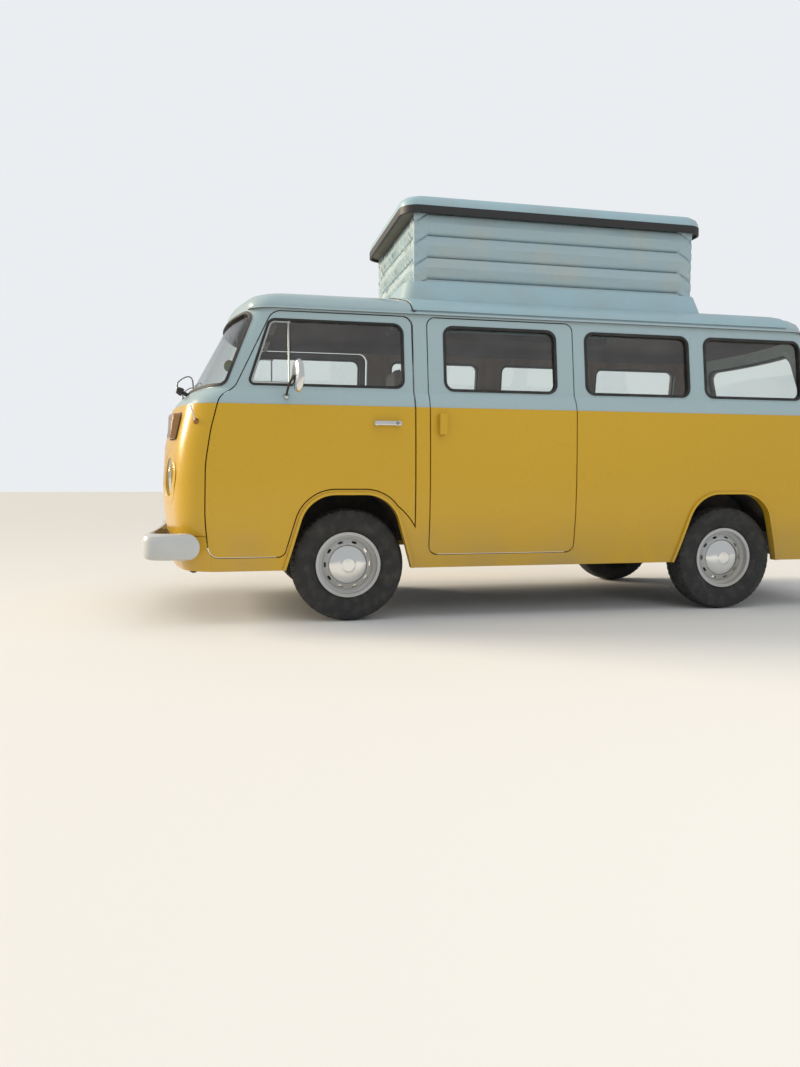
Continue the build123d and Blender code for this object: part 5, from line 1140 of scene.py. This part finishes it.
# %% Tail lamps
TAIL_LOW_X, TAIL_HIGH_X = 0.690, 0.785
TAIL_PLATE = ((0.0, -0.002), (0.0, 0.005), (0.002, 0.0075), (0.004, 0.0080))
TAIL_LENS = ((0.0, 0.007), (0.0003, 0.0165), (0.003, 0.0205), (0.010, 0.0215))
LENS_IN = 0.0045
TAIL_LENSES = (
    ("amber", 0.925, 1.024, amber_lens), ("red", 0.815, 0.922, red_lens),
    ("clear", 0.726, 0.812, white_lens),
)
plate_outline = rounded_outline(rectangle(TAIL_LOW_X, 0.720, TAIL_HIGH_X, 1.030, 0.028))
for side, one in both_sides(patch(plate_outline, TAIL_PLATE, on_tail)):
    fitting(f"tail_plate_{side}", [one], chrome, "tail_lamps")
for label, low_z, high_z, finish in TAIL_LENSES:
    lens_outline = rounded_outline(
        rectangle(TAIL_LOW_X + LENS_IN, low_z, TAIL_HIGH_X - LENS_IN, high_z, 0.010)
    )
    for side, one in both_sides(patch(lens_outline, TAIL_LENS, on_tail)):
        fitting(f"tail_{label}_{side}", [one], finish, "tail_lamps")

# %% [markdown]
# A tyre is one profile turned about its axle, with the tread pressed into it: four grooves
# run round it, and short slots cross the shoulders. The radius at each point is the plain
# profile less the depth of the grooves there, so the pattern is a sum and not a modifier.

# %% Tyres and wheel caps
TYRE_HALF = (
    (0.0600, 0.1795), (0.0612, 0.1885), (0.0690, 0.1960), (0.0800, 0.2080), (0.0872, 0.2240),
    (0.0905, 0.2260), (0.0915, 0.2300), (0.0918, 0.2480), (0.0922, 0.2560), (0.0912, 0.2740),
    (0.0880, 0.2920), (0.0845, 0.3030), (0.0800, 0.3110), (0.0750, 0.3165),
)
GROOVES = (-0.045, -0.016, 0.016, 0.045)
GROOVE_HALF, GROOVE_DEPTH = 0.0030, 0.0072
SLOTS_ROUND, SLOT_DEPTH, SIPE_DEPTH = 56, 0.0055, 0.003


def tyre_grid(centre, columns=336):
    """The tyre's points: r = plain crown - grooves(x) - slots(x, angle)."""
    groove_edges = [
        groove + side * step for groove in GROOVES for side in (-1, 1)
        for step in (GROOVE_HALF, GROOVE_HALF + 0.0012)
    ]
    tread = np.array(sorted(groove_edges + list(np.linspace(-0.072, 0.072, 13))))
    wall_x, wall_r = np.array(TYRE_HALF).T
    x = np.concatenate([-wall_x, tread, wall_x[::-1]])
    crown = AXLE_Z - 0.0060 * (tread / 0.0735) ** 4 - 0.0004 * (tread / 0.03) ** 2
    r = np.concatenate([wall_r, crown, wall_r[::-1]])
    groove = sum((abs(x - g) <= GROOVE_HALF + 1e-6).astype(float) for g in GROOVES)
    angle = np.linspace(0, 2 * np.pi, columns, endpoint=False)
    wave = np.sin(SLOTS_ROUND * angle[None, :] + np.sign(x)[:, None] * 0.9 + x[:, None] * 30)
    out = abs(x)[:, None]
    shoulder = (out > 0.0495) & (out < 0.078)
    ribs = (out < 0.0125) | (out > 0.0200) & (out < 0.0405)
    slots = SLOT_DEPTH * shoulder * (wave > 0.72) + SIPE_DEPTH * ribs * (wave > 0.90)
    radius = r[:, None] - GROOVE_DEPTH * groove[:, None] - slots * (groove[:, None] == 0)
    points = np.stack([
        np.broadcast_to(x[:, None], radius.shape), radius * np.cos(angle), radius * np.sin(angle),
    ], axis=-1)
    return grid(np.concatenate([points, points[:1]]) + np.array(centre), caps=False)


CAP = (
    (0.0405, 0.1060), (0.0405, 0.1135), (0.0460, 0.1140), (0.0500, 0.1120), (0.0545, 0.1060),
    (0.0610, 0.0930), (0.0660, 0.0780), (0.0695, 0.0600), (0.0712, 0.0450), (0.0722, 0.0400),
    (0.0745, 0.0370), (0.0752, 0.0200), (0.0755, 0.0),
)
WHEELS = {
    "front_left": (0.6975, FRONT_AXLE_D), "front_right": (-0.6975, FRONT_AXLE_D),
    "rear_left": (0.7275, REAR_AXLE_D), "rear_right": (-0.7275, REAR_AXLE_D),
}
for corner, (x, d) in WHEELS.items():
    centre = (x, back(d), AXLE_Z)
    body = "rolling_" + corner
    tyre = piece_from("tread_" + corner, [tyre_grid(centre)], tyre_rubber, body, 32)
    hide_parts("tyre_" + corner)
    cap = [(along if x > 0 else -along, radius) for along, radius in CAP]
    piece_from("cap_" + corner, [turned(cap, centre, 72)], chrome, body)
print("tyre triangles:", 2 * len(tyre.data.polygons))

# %% [markdown]
# The bellows are a band of coated cloth that folds in along level valleys. Near an upright
# corner each valley splits into two creases that run to the corner's edge, which makes the
# flat gusset triangles. The cloth slopes gently in from each crest to its valley, and near
# a crease it drops by depth * exp(-distance / width). Puckers fill the panels between.

# %% Bellows
BELLOWS_LOW, BELLOWS_HIGH = 1.995, 2.406
BELLOWS_HALF_X, BELLOWS_HALF_Y = 0.560, 0.9175
BELLOWS_MIDDLE_Y = back(1.465 + 1.985 / 2)
VALLEYS = (2.020, 2.148, 2.276, 2.404)
VALLEY_SLOPE, VALLEY_DROP, VALLEY_WIDTH = 0.016, 0.022, 0.0048
VALLEY_DEPTH = VALLEY_SLOPE + VALLEY_DROP
PLEAT_HALF = 0.064
GUSSET = 0.090
# Each gusset crease: the way it goes, its depth, its width and how it grows inwards.
GUSSET_CREASES = ((-1, 0.027, 0.0065, 0.4), (1, 0.010, 0.0055, 0.5))
PUCKER_DEPTH, FINE_DEPTH, SLACK_DEPTH, LIP_DEPTH = 0.0150, 0.0014, 0.0030, 0.006
MOST_OUT = 0.007
# Each wall: how far its columns are apart, and how strongly it puckers.
LONG_WALL, SHORT_WALL = (0.0120, 0.16), (0.0075, 1.0)
BELLOWS_SHARP = 28


def to_crease(s, z, start, end):
    """How far points (s, z) on a wall are from a straight crease."""
    start, run = np.array(start), np.array(end) - np.array(start)
    share = ((s - start[0]) * run[0] + (z - start[1]) * run[1]) / (run @ run)
    share = np.clip(share, 0, 1)
    return np.hypot(s - start[0] - run[0] * share, z - start[1] - run[1] * share)


def bellows_wall(corner_a, corner_b, step, pucker):
    """One wall of the bellows between two corners of the plan, as rows of points."""
    corner_a, corner_b = np.array(corner_a), np.array(corner_b)
    length = np.linalg.norm(corner_b - corner_a)
    near = np.linspace(0, GUSSET + 0.01, 23, endpoint=False)
    middle_count = int((length - 2 * GUSSET) / step)
    middle = np.linspace(near[-1] + step / 2, length - near[-1] - step / 2, middle_count)
    hem = np.linspace(BELLOWS_LOW, VALLEYS[0], 5, endpoint=False)
    heights = np.concatenate([hem, np.linspace(VALLEYS[0], VALLEYS[-1], 85), [BELLOWS_HIGH]])
    s, z = np.meshgrid(np.concatenate([near, middle, length - near[::-1]]), heights)
    from_corner = np.minimum(s, length - s)
    reach = (from_corner / GUSSET).clip(0, 1)
    inset = np.zeros_like(z)
    for valley in VALLEYS:
        level = to_crease(from_corner, z, (GUSSET, valley), (length, valley))
        slope = (1 - abs(z - valley) / PLEAT_HALF).clip(0) * reach
        inset += VALLEY_DROP * np.exp(-level / VALLEY_WIDTH) + VALLEY_SLOPE * slope
        for way, depth, width, growth in GUSSET_CREASES:
            away = to_crease(from_corner, z, (0, valley + way * PLEAT_HALF), (GUSSET, valley))
            inset = np.maximum(inset, depth * np.exp(-away / width) * reach**growth)
    inset = np.minimum(inset, VALLEY_DEPTH)
    band = np.floor((z - VALLEYS[0]) / PLEAT_HALF)
    between = abs(np.sin(np.pi * (z - VALLEYS[0]) / PLEAT_HALF))
    phase = 2.4 * band + 1.9 * np.sin(s * 7.3 + 4 * band) + 1.1 * np.sin(s * 17.1 + band)
    ripple = abs(np.sin(s * 52 + phase)) ** 0.6 - 0.6
    fine = np.sin(s * 190 + 3 * phase)
    slack = np.sin(s * 9 + 2 * band) * np.sin(s * 3.7 + 1.3 * band)
    wrinkles = pucker * (ripple * PUCKER_DEPTH + fine * FINE_DEPTH) + slack * SLACK_DEPTH
    lip = LIP_DEPTH * (1 - between) * (1 - reach) * (inset < 0.004)
    inset += between * wrinkles * (0.25 + 0.75 * reach) + lip
    inset = np.clip(inset, -MOST_OUT, VALLEY_DEPTH)
    inset[:, [0, -1]] = np.clip(inset[:, [0, -1]], 0, LIP_DEPTH)
    along_dir = (corner_b - corner_a) / length
    in_dir = np.array([-along_dir[1], along_dir[0]])
    level_points = corner_a + s[..., None] * along_dir + inset[..., None] * in_dir
    return np.concatenate([level_points + np.array([0, BELLOWS_MIDDLE_Y]), z[..., None]], axis=-1)


plan = [
    (x * BELLOWS_HALF_X, y * BELLOWS_HALF_Y) for x, y in ((1, -1), (1, 1), (-1, 1), (-1, -1))
]
cloth_grid = np.concatenate([
    bellows_wall(here, there, *wall)[:, :-1]
    for here, there, wall in zip(plan, plan[1:] + plan[:1], (LONG_WALL, SHORT_WALL) * 2)
], axis=1)
bellows_piece = piece_from(
    "bellows_band", [grid(cloth_grid, caps=False, flip=True)], bellows_cloth, "body",
    BELLOWS_SHARP, False,
)
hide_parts("bellows")
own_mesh(bellows_piece)

# %% [markdown]
# Seats. A cushion starts as a box with round edges and many small faces. Its top swells
# towards the middle, its sides pull in between the corners, and sewn channels are pressed
# into the top as narrow dips. Piping runs round the seam as a thin tube.

# %% Seats and cushions


def cushion(
    low, high, corner, up=2, crown=0.018, pull=0.012, channels=0, depth=0.006, cells=22,
    lean=0.0, pivot=(0, 0, 0),
):
    """A cushion between two corners of space: its shape and its piping, leant about X."""
    low, high = np.array(low, dtype=float), np.array(high, dtype=float)
    middle, half = (low + high) / 2, (high - low) / 2
    first, second = [axis for axis in range(3) if axis != up]

    def puffed(points):
        unit = (points - middle) / half
        a, b, c = unit[:, first], unit[:, second], unit[:, up]
        moved = points.copy()
        top = np.clip(c, 0, 1)
        moved[:, up] += crown * (1 - a**2).clip(0) * (1 - b**2).clip(0) * top - crown * 0.6 * top
        moved[:, first] -= a * abs(a) ** 3 * pull * (1 - b**2).clip(0)
        moved[:, second] -= b * abs(b) ** 3 * pull * (1 - a**2).clip(0)
        if channels:
            lines = np.cos(a * np.pi * channels * 0.5 + (0 if channels % 2 else np.pi / 2)) ** 2
            groove = np.exp(-lines / 0.02) * (abs(a) < 0.92) * (1 - b**6).clip(0)
            moved[:, up] -= depth * groove * top
        return moved

    def leant(points):
        about = np.array(pivot)
        c, s = math.cos(lean), math.sin(lean)
        turn = np.array([[1, 0, 0], [0, c, -s], [0, s, c]])
        return (points - about) @ turn.T + about

    points, faces = rounded_box(low, high, corner, 5, cells)
    ends = (low[first], low[second], high[first], high[second])
    outline = rounded_outline(rectangle(*ends, corner), 8)
    dense = []
    for here, there in zip(outline, np.roll(outline, -1, axis=0)):
        steps = max(1, int(np.linalg.norm(there - here) / 0.02))
        dense.extend(here + (there - here) * k / steps for k in range(steps))
    seam = np.zeros((len(dense), 3))
    seam[:, [first, second]] = np.array(dense)
    seam[:, up] = high[up] - corner * 0.75
    piping = tube(leant(puffed(seam)), 0.0042, 8, closed=True)
    return (leant(puffed(points)), faces), piping


def upholstery(label, ending, cushion_shapes, finish):
    """A padded cushion in place of the plain seats, and the piping round its seam."""
    shape, piping = cushion_shapes
    made = fitting(label + ending, [shape], finish, "seats", 60)
    fitting(f"{label}_piping{ending}", [piping], brown_vinyl, sharp=60)


def block(x, half, low_d, high_d, low_z, high_z):
    """Two corners of a block that stands half to each side of x, its heights from the riser."""
    return (x - half, back(low_d), RISER_Z + low_z), (x + half, back(high_d), RISER_Z + high_z)


RISER_Z = 0.740
REST_LEAN = {"lean": math.radians(-8.0), "pivot": (0, back(1.400), RISER_Z + 0.09)}
for side, x in (("left", 0.400), ("right", -0.400)):
    ending = "_" + side
    squab = cushion(*block(x, 0.245, 0.988, 1.345, 0.004, 0.124), 0.034, channels=7, crown=0.014)
    rest = cushion(
        *block(x, 0.238, 1.352, 1.432, 0.105, 0.562), 0.032, up=1, crown=-0.012, channels=7,
        depth=-0.006, **REST_LEAN,
    )
    head = cushion(
        *block(x, 0.128, 1.424, 1.486, 0.583, 0.738), 0.028, up=1, crown=0.004, pull=0.006,
    )
    upholstery("squab", ending, squab, seat_cloth)
    upholstery("backrest", ending, rest, seat_cloth)
    upholstery("headrest", ending, head, brown_vinyl)
    posts = [
        tube([(x + dx, back(1.455), RISER_Z + z) for z in (0.50, 0.60)], 0.006, 12)
        for dx in (-0.06, 0.06)
    ]
    shell = rounded_box(*block(x, 0.225, 1.405, 1.440, 0.02, 0.12), 0.012, 3)
    fitting(f"headrest_posts_{side}", posts, chrome)
    fitting(f"seat_hinge_{side}", [shell], black_plastic)
bench = cushion((-0.180, back(2.942), 0.822), (0.568, back(3.372), 0.928), 0.034, channels=5)
mattress = cushion(
    (-0.548, back(3.402), 0.981), (0.648, back(4.262), 1.067), 0.030, crown=0.010, pull=0.008,
)
upholstery("bench_cushion", "", bench, seat_cloth)
upholstery("mattress", "", mattress, seat_cloth)
bench_box = rounded_box((-0.180, back(2.985), 0.511), (0.566, back(3.372), 0.820), 0.004, 2)
fitting("bench_box", [bench_box], cabinet_veneer, "seats")
print("seats done")

# %% [markdown]
# Small things that the eye looks for: the cabinets' doors with their knobs, dials and a grab
# rail on the dashboard, the driver's controls, visors and the mirror over the windscreen, a
# green disc inside its glass, the stub of an aerial beside the nose, and the rubber strip
# where the roof's moulding starts.

# %% Fittings inside and out
CABINET_ENDS = ((1.655, 2.045), (2.060, 2.455), (2.470, 2.865))
CABINET_ROWS = ((0.560, 0.930), (0.945, 1.150))
KNOB = ((0, 0.006), (0.008, 0.006), (0.012, 0.011), (0.018, 0.012), (0.022, 0.008), (0.023, 0))
cabinet_fronts, knobs = [], []
for low_d, high_d in CABINET_ENDS:
    for low_z, high_z in CABINET_ROWS:
        ends = (-0.420, back(low_d), low_z), (-0.404, back(high_d), high_z)
        cabinet_fronts.append(rounded_box(*ends, 0.003, 2))
        knobs.append(turned(KNOB, (-0.405, back((low_d + high_d) / 2), high_z - 0.05), 20))
worktop = rounded_box((-0.800, back(1.634), 1.196), (-0.4085, back(2.886), 1.200), 0.0015, 2)
worktop_finish = grained_plastic("worktop_plastic", (0.42, 0.36, 0.26), 0.35, 300)
fitting("cabinet_doors", cabinet_fronts, cabinet_veneer)
fitting("cabinet_knobs", knobs, chrome)
fitting("worktop_sheet", [worktop], worktop_finish)

DIALS = ((-0.400, 1.205, 0.052), (-0.520, 1.203, 0.044), (-0.285, 1.203, 0.044))
DIAL_D, MARK_D = 0.546, 0.5435
RADIO_KNOB = ((0, 0.011), (0.014, 0.011), (0.016, 0.009), (0.0165, 0))
dial_face = grained_plastic("dial_face", (0.012, 0.012, 0.013), 0.3)
dial_rims, dial_faces = [], []
for x, z, radius in DIALS:
    rim = (
        (-0.03, radius), (0.0, radius), (0.004, radius - 0.002), (0.004, radius - 0.006),
        (-0.002, radius - 0.007), (-0.03, radius - 0.007),
    )
    face = ((-0.03, radius - 0.007), (-0.004, radius - 0.007), (-0.004, 0.0))
    dial_rims.append(turned(rim, (x, back(DIAL_D), z), 40, "Y"))
    dial_faces.append(turned(face, (x, back(DIAL_D), z), 40, "Y"))
    for turn in np.linspace(math.radians(-45), math.radians(225), 10):
        mark = [
            (x + reach * math.cos(turn), back(MARK_D), z + reach * math.sin(turn))
            for reach in (radius - 0.017, radius - 0.010)
        ]
        dial_rims.append(tube(mark, 0.0009, 6))
grab_rail = tube(smooth_path([
    (0.330, back(0.525), 1.165), (0.340, back(0.575), 1.172), (0.400, back(0.590), 1.175),
    (0.520, back(0.590), 1.175), (0.580, back(0.575), 1.172), (0.590, back(0.525), 1.165),
], 40), 0.010, 14)
radio = rounded_box((-0.090, back(0.500), 1.150), (0.090, back(0.548), 1.205), 0.004, 3)
ashtray = rounded_box((-0.075, back(0.500), 1.085), (0.075, back(0.538), 1.125), 0.004, 3)
radio_knobs = [
    turned(RADIO_KNOB, (x, back(DIAL_D), 1.178), 24, "Y") for x in (-0.066, 0.066)
]
fitting("dial_rims", dial_rims, chrome)
fitting("dial_faces", dial_faces, dial_face)
fitting("grab_rail", [grab_rail], black_plastic)
fitting("dash_blocks", [radio, ashtray], dial_face)
fitting("radio_knobs", radio_knobs, chrome)

BOOT = (
    (0.0, 0.062), (0.010, 0.058), (0.020, 0.042), (0.034, 0.036), (0.048, 0.022), (0.058, 0.010),
)
gear_stick = tube(smooth_path([
    (-0.060, back(0.900), 0.512), (-0.060, back(0.880), 0.640), (-0.075, back(0.930), 0.800),
    (-0.090, back(0.965), 0.900),
], 30), 0.007, 12)
gear_knob = tube([
    (-0.090, back(0.965), 0.893), (-0.092, back(0.970), 0.905), (-0.094, back(0.975), 0.920),
    (-0.095, back(0.978), 0.934), (-0.0955, back(0.979), 0.938),
], [0.010, 0.020, 0.024, 0.018, 0.004], 20)
brake_rod = tube([(-0.150, back(0.560), 1.080), (-0.150, back(0.640), 1.075)], 0.009, 12)
brake_grip = tube(
    [(-0.150, back(0.640), 1.075), (-0.150, back(0.700), 1.070)], [0.014, 0.013], 12,
)
levers = [gear_stick, gear_knob, brake_rod, brake_grip]
boot = turned(BOOT, (-0.060, back(0.893), 0.509), 32, "Z")
pedals = []
for x in (-0.520, -0.400, -0.290):
    ends = (x - 0.026, back(0.520), 0.640), (x + 0.026, back(0.532), 0.705)
    stem = [(x, back(0.516), 0.672), (x, back(0.455), 0.600), (x, back(0.440), 0.512)]
    pedals += [rounded_box(*ends, 0.005, 3), tube(stem, 0.007, 10)]
mirror_stem = smooth_path([
    (0, back(0.516), 1.735), (0, back(0.512), 1.755), (0, back(0.505), 1.785),
], 12)
inner_mirror = [
    rounded_box((-0.105, back(0.510), 1.688), (0.105, back(0.522), 1.744), 0.006, 3),
    tube(mirror_stem, 0.005, 10),
]
fitting("levers", levers, black_plastic)
fitting("lever_boot", [boot], black_rubber)
fitting("pedals", pedals, black_rubber)
fitting("inner_mirror", inner_mirror, black_plastic)
for side, low_x, high_x in (("right", -0.560, -0.125), ("left", 0.125, 0.560)):
    visor, _ = cushion(
        (low_x, back(0.585), 1.716), (high_x, back(0.735), 1.731), 0.007, crown=0.001,
        pull=0.001, cells=6,
    )
    made = fitting(f"visor_{side}", [visor], brown_vinyl, sharp=60)

disc_dir = np.array([0.806, -0.588, 0.06])
disc_dir /= np.linalg.norm(disc_dir)
disc_at = np.array([0.7480, back(0.438), 1.440]) - disc_dir * 0.0205
disc_finish = grained_plastic("green_disc", (0.055, 0.085, 0.030), 0.5, 200)
disc = tube([disc_at - disc_dir * 0.0004, disc_at + disc_dir * 0.0004], 0.029, 40)
disc_rim = tube([disc_at - disc_dir * 0.0006, disc_at + disc_dir * 0.0002], 0.0315, 40)
fitting("windscreen_disc", [disc], disc_finish)
fitting("windscreen_disc_rim", [disc_rim], black_plastic)

aerial_dir = np.array([0.797, -0.600, 0.03])
aerial_at = np.array([0.8045, back(0.273), 1.128])
aerial_foot = tube(
    [aerial_at + aerial_dir * step for step in (-0.004, 0.0, 0.004, 0.008, 0.012, 0.017)],
    [0.0165, 0.0170, 0.0155, 0.0105, 0.0080, 0.0040], 32,
)
rod = tube([
    aerial_at + aerial_dir * 0.010, aerial_at + np.array([0.014, -0.010, 0.030]),
    (0.822, back(0.248), 1.206),
], [0.0048, 0.0042, 0.0036], 14)
tip = tube([
    (0.822, back(0.248), 1.203), (0.8225, back(0.2472), 1.208), (0.823, back(0.2465), 1.213),
], [0.0040, 0.0060, 0.0020], 14)
# The aerial's foot is chrome; its copper-brown tone is painted warm sunlight on it.
painted_sunlit_chrome = bright_metal("painted_sunlit_chrome", (0.36, 0.17, 0.08), 0.30)
fitting("aerial_foot", [aerial_foot], painted_sunlit_chrome)
fitting("aerial_rod", [rod, tip], chrome)

edge_x = np.linspace(-0.775, 0.775, 90)
edge_d = 1.4185 + np.clip(abs(edge_x) - 0.55, 0, None) / 0.31 * 0.110
edge_z = np.interp(HALF_WIDTH - abs(edge_x), ROOF_ROWS[:, 1], ROOF_ROWS[:, 0])
roof_edge = tube(np.stack([edge_x, back(edge_d), edge_z + 0.001], axis=-1), 0.0040, 8)
fitting("roof_moulding_edge", [roof_edge], black_rubber)
print("fittings done")

# %% [markdown]
# The camera stands where the photographer stood. Its place, aim and lens were worked out
# from sizes that are known on such a van: wheelbase, width and height.

# %% Camera
CAMERA_PLACE = (5.344, 0.396 - LENGTH / 2, 0.829)
YAW, PITCH, ROLL = (math.radians(angle) for angle in (12.53, -3.99, 0.17))
FOCAL_PIXELS = 809.0
PHOTO_SIZE = (800, 1067)
SENSOR = 36.0

ahead = Vector((-math.cos(YAW) * math.cos(PITCH), math.sin(YAW) * math.cos(PITCH), math.sin(PITCH)))
right = ahead.cross(Vector((0, 0, 1))).normalized()
up = right.cross(ahead)
level_right, level_up = right, up
right = level_right * math.cos(ROLL) + level_up * math.sin(ROLL)
up = level_up * math.cos(ROLL) - level_right * math.sin(ROLL)
camera = new_object("camera", bpy.data.cameras.new("camera"))
camera.data.lens = FOCAL_PIXELS / max(PHOTO_SIZE) * SENSOR
camera.data.sensor_width = SENSOR
turn = Matrix((right, up, -ahead)).transposed().to_4x4()
camera.matrix_world = Matrix.Translation(CAMERA_PLACE) @ turn
bpy.context.scene.camera = camera

# %% [markdown]
# Light: a low warm sun ahead of the van brightens the faces that look forward, as in the
# photograph, and two large cool lamps and the sky fill the near side, which it leaves in shade.

# %% Light and floor
SUN_ENERGY = 4.2
SKY_LEVEL, SKY_SEEN_LEVEL = 0.58, 0.92
FLOOR_REACH = 40.0


def lamp(name, kind, energy, colour, direction, place=(0, 0, 0)):
    """A lamp at place that shines in a direction."""
    light = bpy.data.lights.new(name, kind)
    light.energy, light.color = energy, colour
    turn = Vector(direction).to_track_quat("-Z", "Y").to_matrix().to_4x4()
    holder = new_object(name, light)
    holder.matrix_world = Matrix.Translation(place) @ turn
    return holder


def soft_lamp(name, place, aim, size, watts, colour):
    """A square area lamp at place that points at aim and shows in no mirror image."""
    holder = lamp(name, "AREA", watts, colour, Vector(aim) - Vector(place), place)
    holder.data.size = size
    holder.visible_glossy = False


soft_lamp("top_lamp", (1.5, -0.5, 7.0), (0, 0, 1), 6.0, 130, (0.97, 0.99, 1.0))
soft_lamp("side_lamp", (8.0, 2.0, 3.4), (0, 0, 1.2), 5.0, 105, (0.93, 0.97, 1.0))
sun = lamp("evening_sun", "SUN", SUN_ENERGY, (1.0, 0.84, 0.62), (0.42, 0.84, -0.36))
sun.data.angle = math.radians(24)

world = bpy.data.worlds.new("studio")
bpy.context.scene.world = world
world.use_nodes = True
sky = world.node_tree
rays = sky.nodes.new("ShaderNodeLightPath")
level = sky.nodes.new("ShaderNodeMapRange")
level.inputs["To Min"].default_value = SKY_LEVEL
level.inputs["To Max"].default_value = SKY_SEEN_LEVEL
sky.links.new(rays.outputs["Is Camera Ray"], level.inputs["Value"])
sky.nodes["Background"].inputs["Color"].default_value = (0.90, 0.93, 0.96, 1)
sky.links.new(level.outputs["Result"], sky.nodes["Background"].inputs["Strength"])

floor_mesh = bpy.data.meshes.new("floor")
floor_mesh.from_pydata(
    [(x * FLOOR_REACH, y * FLOOR_REACH, 0) for x, y in ((-1, -1), (1, -1), (1, 1), (-1, 1))],
    [], [(0, 1, 2, 3)],
)
floor = new_object("floor", floor_mesh)
pale_floor = Finish("pale_floor")
floor_mesh.materials.append(pale_floor.finish(Base_Color=(0.74, 0.74, 0.73), Roughness=0.9))
bpy.context.scene.view_settings.view_transform = "Standard"
